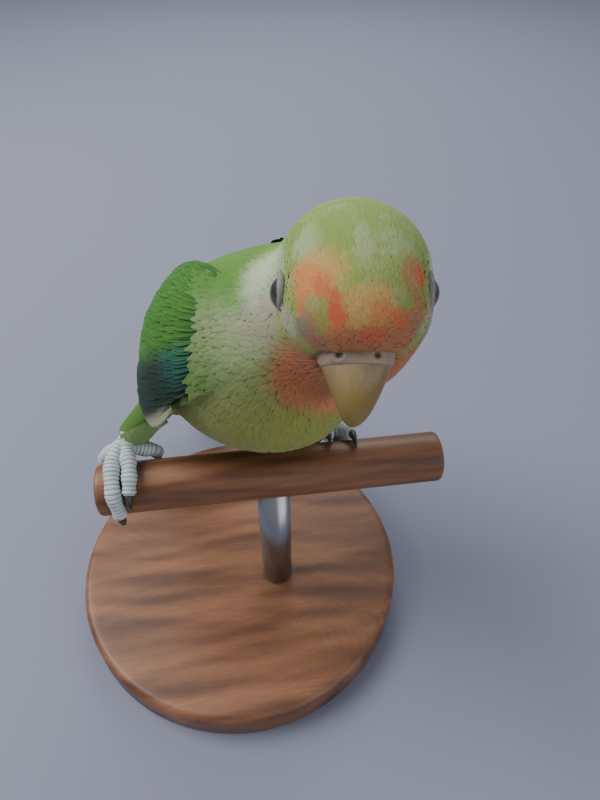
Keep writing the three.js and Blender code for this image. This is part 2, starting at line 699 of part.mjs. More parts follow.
const torsoGrown = longSkin(bodyField, torsoFrame, torsoStations, torsoSides, torsoReach + 2, gap + 0.12);
const upper = after(upperBill(0), inHead(...cere.edge), billWay);
const nostrils = [-1, 1].map((side) =>
  ball(headFrame, [cere.nostril[0], side * cere.nostril[1], cere.nostril[2]], cere.nostrilRadius, 6, 8),
);
const cereSolid = nostrils.reduce(
  (a, b) => a.subtract(b),
  before(upperBill(cere.swell), inHead(...cere.edge), billWay),
);
const lower = lowerBill(0).subtract(upperBill(gap + cere.swell));
const holes = [upperBill(gap + cere.swell), lowerBill(gap)];
const lids = [];
for (const side of Object.values(sides)) {
  holes.push(ball(headFrame, eyeCentre(side), eye.radius + gap, 8, 12));
  lids.push(eyeLid(side));
}

// A thigh keeps clear of the torso, of the folded wing over it and of the shank.
function thigh(name) {
  const sleeve = tube(shankPath(name), 6, 12, () => shankRadius.ankle + scute.ridge + gap);
  return shin(name).subtract(torsoGrown).subtract(wingSpace(name)).subtract(sleeve);
}

addNode("torso", torso(), green, 0.9);
addNode("neck", neck(), green, 0.9);
addNode("head", head(holes, lids), crownGreen, 0.9);
addNode("cere", cereSolid, cereGrey, 0.7);
addNode("bill_upper", upper, horn, 0.4);
addNode("bill_lower", lower, horn, 0.4);
for (const [name, side] of Object.entries(sides)) {
  addNode("eye_" + name, ball(headFrame, eyeCentre(side), eye.radius, 8, 12), eyeDark, 0.05);
  addNode("wing_" + name, wing(name).subtract(torsoGrown), wingGreen, 0.8);
  addNode("foot_" + name, foot(name), footGrey, 0.7);
  addNode("leg_" + name, thigh(name), green, 0.9);
  for (const toe of feet[name].toes) addNode("claw_" + name + "_" + toe.name, claw(toe), clawDark, 0.4);
}
addNode("tail", tail().subtract(torsoGrown), wingGreen, 0.8);
addNode("stand_perch", perchSolid(0), wood, 0.8);
addNode("stand_post", post(), steel, 0.4);
addNode("stand_base", standBase(), wood, 0.6);

export default group;
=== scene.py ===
import math
from functools import reduce

import bpy
import numpy as np
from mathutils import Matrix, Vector, kdtree
from mathutils.bvhtree import BVHTree


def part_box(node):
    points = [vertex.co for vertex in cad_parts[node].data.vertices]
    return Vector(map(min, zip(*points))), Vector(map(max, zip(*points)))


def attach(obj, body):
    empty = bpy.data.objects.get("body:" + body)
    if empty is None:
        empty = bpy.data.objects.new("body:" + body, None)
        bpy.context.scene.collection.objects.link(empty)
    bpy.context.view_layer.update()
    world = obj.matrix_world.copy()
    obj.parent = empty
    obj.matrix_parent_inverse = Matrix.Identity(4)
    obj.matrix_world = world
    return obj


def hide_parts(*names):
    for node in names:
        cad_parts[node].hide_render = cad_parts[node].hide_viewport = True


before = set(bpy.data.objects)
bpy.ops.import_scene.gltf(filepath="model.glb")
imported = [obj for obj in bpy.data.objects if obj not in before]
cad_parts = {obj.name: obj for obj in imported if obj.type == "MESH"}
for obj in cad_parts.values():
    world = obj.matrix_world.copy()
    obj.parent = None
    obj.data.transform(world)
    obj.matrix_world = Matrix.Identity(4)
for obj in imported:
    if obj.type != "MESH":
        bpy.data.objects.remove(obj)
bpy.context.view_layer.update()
scene = bpy.context.scene
mm = 0.001
rng = np.random.default_rng(7)


def mix(a, b, t):
    return a + (b - a) * t


def ease(start, end, value):
    # 0 before start, 1 after end, smooth between; start may be the larger
    t = np.clip((value - start) / (end - start), 0, 1)
    return t * t * (3 - 2 * t)


def unit(v):
    return v / np.maximum(np.linalg.norm(v, axis=-1, keepdims=True), 1e-9)

def shareAlong(p, a, b):
    # how far each point lies along the way from a to b
    return (p - a) @ (b - a) / ((b - a) @ (b - a))


def roundedEnd(t, start, depth):
    # 1 up to start, then a quarter ellipse down towards t = 1; a depth of 1 takes it to nothing
    return np.sqrt(1 - depth * np.clip((t - start) / (1 - start), 0, 1) ** 2)


def turnsOf(count):
    return np.linspace(0, 2 * math.pi, count, endpoint=False)


def borderOf(inside, near, far, rounds):
    # where inside turns false between near and far, by halving
    for _ in range(rounds):
        middle = (near + far) / 2
        still = inside(middle)
        near, far = np.where(still, middle, near), np.where(still, far, middle)
    return near


def linear(code):
    # an sRGB hex colour as linear light
    values = [int(code[i : i + 2], 16) / 255 for i in (1, 3, 5)]
    return np.array([v / 12.92 if v <= 0.04045 else ((v + 0.055) / 1.055) ** 2.4 for v in values])


def boxMiddle(node):
    low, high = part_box(node)
    return np.array((low + high) / 2) / mm


# The two frames the bird is laid out in. Their axes are forward, left and up.
pose = {
    "perchShift": 10, "torsoAt": (6.8, 9.5, 27), "torsoHeading": 20, "torsoPitch": 45,
    "headPitch": -10, "eyeForward": -0.2, "eyeUp": 1.4,
}
perchMiddle = boxMiddle("stand_perch")
perchMiddle[0] -= pose["perchShift"]


def axesOf(side, pitch):
    side = unit(np.array(side, float))
    flat = np.array((side[1], -side[0], 0))
    p = math.radians(pitch)
    up = np.array((0, 0, 1.0))
    return np.array((flat * math.cos(p) + up * math.sin(p), side, -flat * math.sin(p) + up * math.cos(p)))


heading = math.radians(pose["torsoHeading"])
torsoAxes = axesOf((math.cos(heading), math.sin(heading), 0), pose["torsoPitch"])
torsoAt = perchMiddle + pose["torsoAt"]
eyeMiddles = {side: boxMiddle("eye_" + side) for side in ("right", "left")}
headAxes = axesOf(eyeMiddles["left"] - eyeMiddles["right"], pose["headPitch"])
headAt = (eyeMiddles["left"] + eyeMiddles["right"]) / 2
headAt = headAt - np.array((pose["eyeForward"], 0, pose["eyeUp"])) @ headAxes
sideSigns = {"right": -1, "left": 1}


def toTorso(p):
    return (p - torsoAt) @ torsoAxes.T


def toHead(p):
    return (p - headAt) @ headAxes.T


def fromTorso(q):
    return np.asarray(q, float) @ torsoAxes + torsoAt


def fromHead(q):
    return np.asarray(q, float) @ headAxes + headAt


# Distance fields of the body, negative inside, shaped as the solids are.
body = {
    "torso": [((2, -0.6, 1), (30, 18, 17.2)), ((10, 1, -1), (19, 17.5, 15.8))],
    "rump": [((-14, 0, -1), (24, 14, 12.5)), ((-32, 0, 1), (22, 9.5, 7.5))],
    "head": [((-4, 0, 1), (13, 12.2, 11.4)), ((-2, 0, -4.5), (11, 12.2, 9))],
    "face": [((4.4, 0, 2.3), (6.8, 9, 7.3)), ((3.5, 0, -8.5), (6.5, 7, 5.5))],
    "legs": {"right": ((-10, -17.5, -1), (-20.5, -43, 6.4)), "left": ((-8, 10, -9), (19.5, -70, 11.5))},
    "legRadius": (4.4, 4.1),
}


def ellipsoid(q, middle, radii):
    q = q - np.array(middle, float)
    k0 = np.linalg.norm(q / radii, axis=-1)
    k1 = np.linalg.norm(q / np.square(radii), axis=-1)
    return k0 * (k0 - 1) / np.maximum(k1, 1e-9)


def roundCone(p, a, b, radiusA, radiusB):
    t = np.clip(shareAlong(p, a, b), 0, 1)
    return np.linalg.norm(p - a - t[..., None] * (b - a), axis=-1) - mix(radiusA, radiusB, t)


def blend(a, b, k):
    h = np.maximum(k - np.abs(a - b), 0) / k
    return np.minimum(a, b) - h * h * k / 4


def headField(p):
    q = toHead(p)
    return reduce(lambda a, b: blend(a, b, 5), [ellipsoid(q, *e) for e in body["head"] + body["face"]])


def torsoField(p):
    q = toTorso(p)
    return reduce(lambda a, b: blend(a, b, 6), [ellipsoid(q, *e) for e in body["torso"] + body["rump"]])


neckCones = [
    (fromTorso((15, 0, 1)), fromHead((-10, 0.5, -6)), 13.5, 9),
    (fromTorso((12, 3, -4)), fromHead((-5, 0, -11)), 13, 7),
]
tailCone = (fromTorso((-36, 0, 1)), fromTorso((-86, 0, -1)), 9, 5)


def bodyField(p):
    neck = blend(roundCone(p, *neckCones[0]), roundCone(p, *neckCones[1]), 4)
    return blend(blend(torsoField(p), neck, 11), headField(p), 4)


def carrierField(p):
    return blend(bodyField(p), roundCone(p, *tailCone), 9)


def roundPerch(along, angle, radius):
    # a place round the perch: angle goes from its top towards the front
    turn = np.radians(angle)
    x = perchMiddle[0] + np.asarray(along, float)
    return np.stack((x, perchMiddle[1] - radius * np.sin(turn), perchMiddle[2] + radius * np.cos(turn)), -1)


perchRadius = (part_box("stand_perch")[1][2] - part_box("stand_perch")[0][2]) / 2 / mm
gap = 0.3
legEnds = {
    side: (fromTorso(hip), roundPerch(along, angle, perchRadius + gap + high))
    for side, (hip, (along, angle, high)) in body["legs"].items()
}


def fleshField(p):
    field = bodyField(p)
    for ends in legEnds.values():
        field = blend(field, roundCone(p, *ends, *body["legRadius"]), 3)
    return field


def slope(field, p):
    # the value and gradient of a field, from four samples round each point
    corners = np.array(((1, -1, -1), (-1, -1, 1), (-1, 1, -1), (1, 1, 1))) * 0.04
    samples = [field(p + corner) for corner in corners]
    gradient = sum(s[..., None] * corner for s, corner in zip(samples, corners)) / (4 * 0.04**2)
    return sum(samples) / 4, gradient


def toLevel(p, field, level, rounds=3):
    for _ in range(rounds):
        value, gradient = slope(field, p)
        size = np.maximum((gradient**2).sum(-1), 0.2)
        p = p - gradient * ((value - level) / size)[..., None]
    return p


print("frames and fields ready")


# Where the folded wings lie: along the torso, and in degrees from the middle of the back. Towards its ends
# the front edge falls back by bend.
wingSpan = {
    "front": {"right": 28, "left": 23}, "back": -19, "top": 24, "low": 110, "bend": 6, "standOff": 2.4,
}
pad = {"low": 107, "bottom": 0.2, "rim": 0.1, "thick": 1.9, "rows": 26, "columns": 22}


def wingFront(t):
    return np.where(t[:, 1] < 0, wingSpan["front"]["right"], wingSpan["front"]["left"])


def acrossWing(t, sign, low):
    # -1 at the upper edge of the wing on that side, 1 at its lower edge
    fromBack = np.degrees(np.arctan2(t[..., 1] * sign, t[..., 2]))
    return 2 * (fromBack - wingSpan["top"]) / (low - wingSpan["top"]) - 1


# Where the plumage changes. Each value is 0 to 1 at the points given.
def regionsOf(p):
    h, t = toHead(p), toTorso(p)
    head = ease(6, 0.5, headField(p))
    face = head * ease(12, 5, np.linalg.norm(h - (9.5, 0, 2), axis=-1))
    alpha = np.degrees(np.arctan2(np.abs(t[..., 1]), t[..., 2]))
    leg = np.zeros(len(p))
    for ends in legEnds.values():
        leg = np.maximum(leg, ease(0.15, 0.4, shareAlong(p, *ends)) * ease(9, 7, roundCone(p, *ends, 0, 0)))
    return {"h": h, "t": t, "head": head, "face": face, "alpha": alpha, "leg": leg}


def eyeRing(h):
    # the distance from the line through both eyes
    return np.hypot(h[:, 0] - pose["eyeForward"], h[:, 2] - pose["eyeUp"])


# Colours of the plumage, as they look in the photo or as the species has them.
plumage = {
    "crown": "#84984D", "crownPale": "#A0AC84", "crownDeep": "#73903C", "nape": "#7E9848",
    "orange": "#C9744A", "red": "#C95638", "peach": "#BE9458", "rust": "#A8694A", "olive": "#93975E",
    "lore": "#7B6F66", "greyPink": "#A79D90", "cheek": "#AE6B4B", "throat": "#CE8256", "cream": "#C3C59C",
    "neckSide": "#BDC7AE", "breast": "#7F8952", "belly": "#8F9446", "back": "#5B8634", "rump": "#3F86B8",
    "wing": "#417326", "wingDeep": "#2E5A1E", "leg": "#839D60", "vent": "#8DA650",
    "turquoise": "#2F7468", "quill": "#22302B", "quillEdge": "#3A6338",
}
colour = {name: linear(code) for name, code in plumage.items()}

# Patches of the head: colour, middle in the head's frame, radii and strength. The first list is on both
# sides.
pairedMarks = [
    ("neckSide", (-4, 13.5, 1), (6.5, 4.4, 6.5), 0.7), ("greyPink", (1, 13.5, -4), (5, 4, 5.5), 0.6),
    ("cheek", (8, 8.6, -8.5), (4.4, 4.8, 7.2), 0.95), ("greyPink", (5.6, 10, 1.6), (3, 1.6, 2.4), 0.65),
    ("throat", (9, 6, -12.5), (3.2, 4, 4), 0.6), ("lore", (8.5, 7.6, 3.8), (2, 1.9, 2.4), 0.75),
    ("lore", (10.1, 6, 2.4), (1.7, 1.6, 1.5), 0.85),
]
faceMarks = [
    ("throat", (8, 0, -15.5), (5, 6.5, 5), 0.95), ("rust", (10.2, 0, 2.2), (3, 8, 3), 0.8),
    ("crownPale", (-2, -8, 10), (3.2, 2.6, 2.4), 0.7), ("crownPale", (0.5, 0.6, 12), (3.8, 1.3, 2), 0.5),
    ("crownPale", (-0.5, 5, 11.4), (3.4, 3, 2), 0.35), ("crownDeep", (-6, -9.5, 8.5), (3.2, 1.9, 3), 0.7),
    ("crownDeep", (3, -3.4, 11), (2, 1, 1.6), 0.5), ("olive", (5, 2.4, 10.6), (3, 2.4, 2), 0.5),
    ("peach", (3.6, -6, 9.4), (3.6, 4.8, 2.8), 0.85), ("peach", (8.4, 1.4, 8.6), (2.6, 4.6, 2.2), 0.85),
    ("peach", (9.8, -1, 7), (2, 3.6, 1.9), 0.8), ("orange", (4.2, -7.6, 8.3), (3, 2.4, 2.4), 0.7),
    ("orange", (6.9, -8.7, 6.7), (1.9, 1.5, 1.9), 0.8), ("orange", (9.4, 3.2, 7.4), (1.9, 2.4, 1.9), 0.7),
    ("red", (6, -5.5, 9.4), (2, 1.4, 1.5), 0.65), ("red", (8.2, -3.8, 8.5), (1.9, 1.3, 1.6), 0.8),
    ("red", (9.9, -3.4, 7), (1.7, 1.5, 1.7), 0.8), ("orange", (10.8, -3.4, 5.4), (1.4, 2, 1.4), 0.6),
    ("rust", (8.2, -6.6, 6), (2, 1.6, 2), 0.5), ("olive", (7.6, -6.8, 7.3), (1.4, 1.2, 1.3), 0.7),
    ("rust", (11, 1.2, 4.2), (1.8, 6.4, 1.9), 0.8),
    ("rust", (9.9, 6.7, 3), (2, 2.2, 3.6), 0.8), ("red", (10.8, 1.6, 4.9), (1.5, 2, 1.3), 0.6),
    ("red", (9.4, 5.9, 6.1), (1.9, 2, 1.6), 0.6), ("rust", (3.4, 7.2, 8.5), (3.2, 2.2, 2.2), 0.65),
    ("red", (2.6, 8.6, 7.5), (1.7, 1.3, 1.5), 0.75), ("olive", (7.1, 5.2, 8.2), (1.7, 1.5, 1.4), 0.7),
    ("rust", (6.4, 8.4, 5.2), (2.4, 1.7, 2.6), 0.75),
]


def spot(q, middle, radii):
    # 1 inside an ellipsoid of the head or torso frame, fading to 0 past its edge
    return ease(1.4, 0.55, np.linalg.norm((q - np.array(middle)) / radii, axis=-1))


def cloud(p, size, seed):
    # smooth random mottling between -1 and 1, from sums of waves in fixed random directions
    draw = np.random.default_rng(seed)
    value = np.zeros(p.shape[:-1])
    for _ in range(7):
        way = unit(draw.normal(size=3)) * draw.uniform(0.7, 1.5) * 2 * math.pi / size
        value += np.sin(p @ way + draw.uniform(0, 6.28))
    return value / 3.2


def markings(p):
    # The plumage colour at each point, laid in layers from the belly up to the marks of the face. Layers
    # begin and end at places along the torso and head, or at degrees from the middle of the back.
    r = regionsOf(p)
    h, t, alpha = r["h"], r["t"], r["alpha"]
    mirrored = np.stack((h[:, 0], np.abs(h[:, 1]), h[:, 2]), -1)
    fine, broad = cloud(p, 3, 3), cloud(p, 9, 5)
    tone = np.tile(colour["belly"], (len(p), 1))

    def lay(name, share):
        nonlocal tone
        tone = mix(tone, colour[name], np.clip(share, 0, 1)[:, None])

    lay("breast", ease(4, 26, t[:, 0] - 0.25 * (alpha - 90)))
    lay("back", ease(70, 45, alpha))
    lay("vent", ease(-14, -34, t[:, 0]) * ease(80, 120, alpha))
    lay("rump", ease(-18, -30, t[:, 0]) * ease(70, 50, alpha))
    lay("leg", r["leg"])
    offHead = 1 - r["head"]
    lay("crownPale", 0.75 * ease(18, 34, t[:, 0]) * ease(26, 62, alpha) * ease(120, 90, alpha) * offHead)
    besideWing = ease(5, -5, t[:, 0] - wingFront(t)) * ease(20, 34, alpha) * ease(112, 98, alpha)
    lay("wing", 0.7 * besideWing * offHead)
    lay("nape", r["head"] * ease(4, -10, h[:, 0] - h[:, 2]))
    lay("crown", r["head"] * ease(-5, 2, h[:, 2] + 0.2 * h[:, 0] + 0.8 * fine))
    mottle = fine + 0.5 * broad
    for name, way, strength in (("crownPale", 1.2, 0.3), ("crownDeep", -1.2, 0.35)):
        lay(name, r["head"] * ease(0, way, mottle) * ease(2, 6, h[:, 2]) * strength)
    for marks, q, drift in ((pairedMarks, mirrored, 0.35), (faceMarks, h, 0.3)):
        for name, middle, radii, strength in marks:
            lay(name, spot(q + drift * fine[:, None], middle, radii) * strength)
    return tone


def addNode(tree, kind, settings=None, inputs=None):
    # an input given as another node's socket is linked, and any other is set
    node = tree.nodes.new(kind)
    for name, value in (settings or {}).items():
        setattr(node, name, value)
    for socket, value in (inputs or {}).items():
        if isinstance(value, bpy.types.NodeSocket):
            tree.links.new(value, node.inputs[socket])
        else:
            node.inputs[socket].default_value = value
    return node


def newMaterial(name, values):
    material = bpy.data.materials.new(name)
    material.use_nodes = True
    tree = material.node_tree
    shader = tree.nodes["Principled BSDF"]
    for socket, value in values.items():
        shader.inputs[socket].default_value = value
    return material, tree, shader


def paintedTint(tree):
    return addNode(tree, "ShaderNodeAttribute", {"attribute_name": "tint"}).outputs["Color"]


def mottled(tree, tint, noise, streak):
    # the colour made a little lighter and darker where the noise is high and low
    limits = {0: noise, "From Min": 0.3, "From Max": 0.7, "To Min": 1 - streak, "To Max": 1 + streak}
    bright = addNode(tree, "ShaderNodeMapRange", inputs=limits).outputs[0]
    scaled = {0: tint, "Scale": bright}
    return addNode(tree, "ShaderNodeVectorMath", {"operation": "SCALE"}, scaled).outputs[0]


def featherMaterial(name, grain, values):
    # keratin barbs run out from the shaft at a slant; they are drawn several times coarser than real ones
    material, tree, shader = newMaterial(name, values)
    uv = addNode(tree, "ShaderNodeUVMap", {"uv_map": "vane"}).outputs["UV"]
    across, along, _ = addNode(tree, "ShaderNodeSeparateXYZ", inputs={0: uv}).outputs
    fromShaft = addNode(tree, "ShaderNodeMath", {"operation": "SUBTRACT"}, {0: across, 1: 0.5}).outputs[0]
    aside = addNode(tree, "ShaderNodeMath", {"operation": "ABSOLUTE"}, {0: fromShaft}).outputs[0]
    slant = {0: aside, 1: -grain["sweep"], 2: along}
    sweep = addNode(tree, "ShaderNodeMath", {"operation": "MULTIPLY_ADD"}, slant).outputs[0]
    place = addNode(tree, "ShaderNodeCombineXYZ", inputs={0: sweep, 1: across}).outputs[0]
    scale = {0: place, 1: (grain["barbs"], grain["across"], 1)}
    place = addNode(tree, "ShaderNodeVectorMath", {"operation": "MULTIPLY"}, scale).outputs[0]
    barbs = addNode(tree, "ShaderNodeTexNoise", inputs={0: place, "Scale": 1, "Detail": 2}).outputs["Fac"]
    tree.links.new(mottled(tree, paintedTint(tree), barbs, grain["streak"]), shader.inputs["Base Color"])
    relief = {"Strength": grain["bump"], "Distance": 0.12 * mm, "Height": barbs}
    tree.links.new(addNode(tree, "ShaderNodeBump", inputs=relief).outputs[0], shader.inputs["Normal"])
    return material


# soft loose barbs: matt, with a faint bloom at grazing angles
contourMaterial = featherMaterial(
    "Small soft contour feathers",
    {"barbs": 22, "across": 3, "sweep": 0.9, "streak": 0.12, "bump": 0.2},
    {"Roughness": 0.8, "Sheen Weight": 0.1, "Sheen Roughness": 0.5, "Specular IOR Level": 0.2},
)
# barbs zipped into a firm web: smoother, with a low satin shine
flightMaterial = featherMaterial(
    "Firm flight feathers",
    {"barbs": 60, "across": 2, "sweep": 0.5, "streak": 0.1, "bump": 0.25},
    {"Roughness": 0.65, "Specular IOR Level": 0.22},
)


def finish(piece, material, nodes=()):
    piece.data.materials.clear()
    piece.data.materials.append(material)
    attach(piece, "root")
    if nodes:
        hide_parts(*nodes)
    return piece


def addObject(name, data):
    piece = bpy.data.objects.new(name, data)
    scene.collection.objects.link(piece)
    return piece


def smoothly(mesh):
    mesh.polygons.foreach_set("use_smooth", np.ones(len(mesh.polygons), bool))
    mesh.update()


def pieceFrom(name, points, faces):
    mesh = bpy.data.meshes.new(name)
    mesh.from_pydata(np.asarray(points) * mm, [], faces)
    smoothly(mesh)
    return addObject(name, mesh)


def plainMesh(source):
    # what the source's modifiers make, as a mesh of its own
    mesh = bpy.data.meshes.new_from_object(source.evaluated_get(bpy.context.evaluated_depsgraph_get()))
    bpy.data.objects.remove(source)
    return mesh


def pointsOf(mesh):
    points = np.zeros(len(mesh.vertices) * 3)
    mesh.vertices.foreach_get("co", points)
    return points.reshape(-1, 3) / mm


def paintOn(mesh, tones):
    # the colour at each point, which the material reads as tint
    paint = np.concatenate((tones, np.ones((len(tones), 1))), -1).astype(np.float32)
    layer = mesh.color_attributes.new(name="tint", type="FLOAT_COLOR", domain="POINT")
    layer.data.foreach_set("color", paint.ravel())


def vanePiece(name, outer, inner, tint, bake, vaneUv, shade):
    # closed thin vanes: outer and inner are [vane, row, column, xyz] and share their rims
    count, rows, columns, _ = outer.shape
    front = np.arange(count * rows * columns).reshape(count, rows, columns)
    backSide = front.copy()
    middle = (count, rows - 2, columns - 2)
    backSide[:, 1:-1, 1:-1] = front.size + np.arange(np.prod(middle)).reshape(middle)

    def triangles(index, *orders):
        # both faces of a vane are cut along the same diagonals, so that they never cross
        corners = (index[:, :-1, :-1], index[:, 1:, :-1], index[:, 1:, 1:], index[:, :-1, 1:])
        return [np.stack([corners[i].ravel() for i in order], -1) for order in orders]

    def both(front, back):
        width = front.shape[-1]
        return np.concatenate((front.reshape(-1, width), back[:, 1:-1, 1:-1].reshape(-1, width)))

    facesOut = np.concatenate(triangles(front, (0, 1, 2), (0, 2, 3)))
    faces = np.concatenate((facesOut, *triangles(backSide, (2, 1, 0), (3, 2, 0))))
    a, b, c = (outer.reshape(-1, 3)[facesOut[:, i]] for i in range(3))
    if (np.cross(b - a, c - a) * shade.reshape(-1, 3)[facesOut[:, 0]]).sum() < 0:
        faces = faces[:, ::-1]
    piece = pieceFrom(name, both(outer, inner), faces)
    for layer, values in (("OFBake", bake), ("vane", vaneUv)):
        corners = both(values, values)[faces.ravel()].astype(np.float32)
        piece.data.uv_layers.new(name=layer).data.foreach_set("uv", corners.ravel())
    paintOn(piece.data, both(tint, tint))
    # every corner takes the lie of the coat as its normal, so that rims are lit as the vane is
    normals = both(shade, shade)[faces]
    normals[len(facesOut) :] *= -1
    piece.data.normals_split_custom_set(normals.reshape(-1, 3))
    return piece


# The skin: one smooth surface inside the coat, remeshed from balls and then laid on the body's field.
skin = {"voxel": 0.8, "bodyDepth": 1.3, "headDepth": 0.8, "faceDepth": 0.42}


def coatDepth(p):
    r = regionsOf(p)
    return mix(mix(skin["bodyDepth"], skin["headDepth"], r["head"]), skin["faceDepth"], r["face"])


def makeSkin():
    bpy.ops.mesh.primitive_ico_sphere_add(subdivisions=4, radius=1)
    ball = bpy.context.object
    sphere = np.array([v.co for v in ball.data.vertices])
    triangles = np.array([list(f.vertices) for f in ball.data.polygons])
    bpy.data.objects.remove(ball)
    balls = [fromTorso(sphere * radii + middle) for middle, radii in body["torso"] + body["rump"]]
    balls += [fromHead(sphere * radii + middle) for middle, radii in body["head"] + body["face"]]
    for a, b, radiusA, radiusB in neckCones + [(*ends, *body["legRadius"]) for ends in legEnds.values()]:
        balls += [mix(a, b, t) + sphere * mix(radiusA, radiusB, t) for t in np.linspace(0, 1, 9)]
    faces = np.concatenate([triangles + i * len(sphere) for i in range(len(balls))])
    rough = pieceFrom("roughSkin", np.concatenate(balls), faces)
    remesh = rough.modifiers.new("voxels", "REMESH")
    remesh.mode = "VOXEL"
    remesh.voxel_size = skin["voxel"] * mm
    mesh = plainMesh(rough)
    points = toLevel(pointsOf(mesh), fleshField, 0, 4)
    points = toLevel(points, fleshField, -coatDepth(points))
    mesh.vertices.foreach_set("co", (points * mm).ravel())
    smoothly(mesh)
    # the plumage colour a little darker: painted shade for the gaps between the feathers
    paintOn(mesh, markings(points) * 0.85)
    return addObject("skin", mesh)


# bare skin and down between the feathers: quite matt, so that no gap in the coat glints
skinMaterial, skinTree, skinShader = newMaterial("Downy skin", {"Roughness": 0.95, "Specular IOR Level": 0.1})
skinTree.links.new(paintedTint(skinTree), skinShader.inputs["Base Color"])
skinPiece = makeSkin()
finish(skinPiece, skinMaterial, ("torso", "neck", "head", "leg_right", "leg_left"))
print("skin:", len(skinPiece.data.polygons), "faces")


# The coat of small feathers: spacing, length and width on the body, head and face.
coat = {
    "candidates": 560000,
    "spacing": {"body": 0.58, "head": 0.42, "face": 0.29, "leg": 0.42},
    "length": {"body": 5.4, "head": 3.2, "face": 1.95, "leg": 2.6},
    "width": {"body": 1.7, "head": 1.15, "face": 0.84, "leg": 1},
    "rows": (0, 0.28, 0.62, 1), "columns": 5, "thick": 0.06, "tipRise": 0.07, "flat": 2.4,
    "own": 0.12, "bow": 0.18,
}


def sizeOf(r, name):
    sizes = coat[name]
    value = mix(mix(sizes["body"], sizes["head"], r["head"]), sizes["face"], r["face"])
    return mix(value, sizes["leg"], r["leg"])


def sample(mesh, count):
    # random places, spread evenly over the surface
    mesh.calc_loop_triangles()
    corners = np.array([list(t.vertices) for t in mesh.loop_triangles])
    points = pointsOf(mesh)
    a, b, c = (points[corners[:, i]] for i in range(3))
    area = np.linalg.norm(np.cross(b - a, c - a), axis=1)
    pick = rng.choice(len(area), count, p=area / area.sum())
    u, v = rng.random((2, count))
    flip = u + v > 1
    u, v = np.where(flip, 1 - u, u)[:, None], np.where(flip, 1 - v, v)[:, None]
    return a[pick] * (1 - u - v) + b[pick] * u + c[pick] * v


def spreadOut(p, spacing):
    # keeps points at least their own spacing apart
    tree = kdtree.KDTree(len(p))
    for i, point in enumerate(p):
        tree.insert(point, i)
    tree.balance()
    kept = np.ones(len(p), bool)
    for i, point in enumerate(p):
        if kept[i]:
            for _, j, _ in tree.find_range(point, spacing[i]):
                if j > i:
                    kept[j] = False
    return kept


def nearEye(h, value):
    # 1 away from the eyes, falling to the value at their lids
    return mix(1, value, ease(7.5, 2.8, eyeRing(h)) * ease(5, 7, np.abs(h[:, 1])))


def lieOf(p, normals):
    # away from the bill on the head, round the eyes, down the legs, and towards the tail elsewhere
    r = regionsOf(p)
    h = r["h"]
    fromBill = unit(h - (9, 0, -1)) @ headAxes
    tailward = np.tile(-torsoAxes[0], (len(p), 1))
    way = mix(tailward, fromBill, ease(9, -1, headField(p))[:, None])
    for hip, ankle in legEnds.values():
        near = np.linalg.norm(p - (hip + ankle) / 2, axis=1)[:, None] < 14
        way = mix(way, np.tile(unit(ankle - hip), (len(p), 1)), r["leg"][:, None] * near)
    fromEye = unit((h - (pose["eyeForward"], 0, pose["eyeUp"])) * (1, 0, 1)) @ headAxes
    way = mix(way, fromEye, ((1 - nearEye(h, 0)) * 0.85)[:, None])
    return unit(way - normals * (way * normals).sum(-1, keepdims=True))


def inFrontOfWing(roots):
    t = toTorso(roots)
    return ease(-9, -7, t[:, 0] - wingFront(t)) * (1 - regionsOf(roots)["leg"])


def cushion(p, roots):
    # how far the folded wing's cushion stands over the body, where the breast's feathers run onto it
    t = toTorso(p)
    high = np.zeros(p.shape[:-1])
    for side, sign in sideSigns.items():
        v = acrossWing(t, sign, pad["low"])
        front = wingSpan["front"][side] - wingSpan["bend"] * v * v
        u = (front - t[..., 0]) / (front - wingSpan["back"])
        inside = (np.abs(v) < 1) & (u > -0.14) & (u < 1)
        rest = 1 - np.clip(u, 0, 1)
        swell = np.sqrt(np.maximum(0, 1 - v**4)) * np.sqrt(1 - rest**4)
        ramp = ease(-0.14, 0.03, u) * ease(1, 0.9, np.abs(v))
        high = np.maximum(high, np.where(inside, 1.1 * ramp + pad["thick"] * swell, 0))
    return high * inFrontOfWing(roots)[:, None, None]


hardParts = []
for node in ("bill_upper", "bill_lower", "cere"):
    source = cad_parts[node].data
    triangles = [list(f.vertices) for f in source.polygons]
    hardParts.append(BVHTree.FromPolygons([v.co / mm for v in source.vertices], triangles))


def clearOfHardParts(p):
    # outside the bill and cere, round the openings of the eyes, and short of the ankles
    free = np.ones(len(p), bool)
    r = regionsOf(p)
    for i in np.flatnonzero((r["head"] > 0.5) & (r["h"][:, 0] > -6)):
        at = Vector(p[i])
        for tree in hardParts:
            nearest, normal, _, distance = tree.find_nearest(at)
            if distance < 0.2 or (distance < 6 and (at - nearest).dot(normal) < 0):
                free[i] = False
    for ends in legEnds.values():
        free &= ~((shareAlong(p, *ends) > 0.97) & (r["leg"] > 0.3))
    return free & ~((eyeRing(r["h"]) < 2.9) & (np.abs(r["h"][:, 1]) > 4))


def underWing(p):
    t = toTorso(p)
    covered = np.zeros(len(p), bool)
    for side, sign in sideSigns.items():
        v = acrossWing(t, sign, wingSpan["low"])
        front = wingSpan["front"][side] - 0.3 - wingSpan["bend"] * v * v
        covered |= (t[:, 0] < front) & (t[:, 0] > wingSpan["back"] - 6) & (np.abs(v) < 0.85)
    return covered


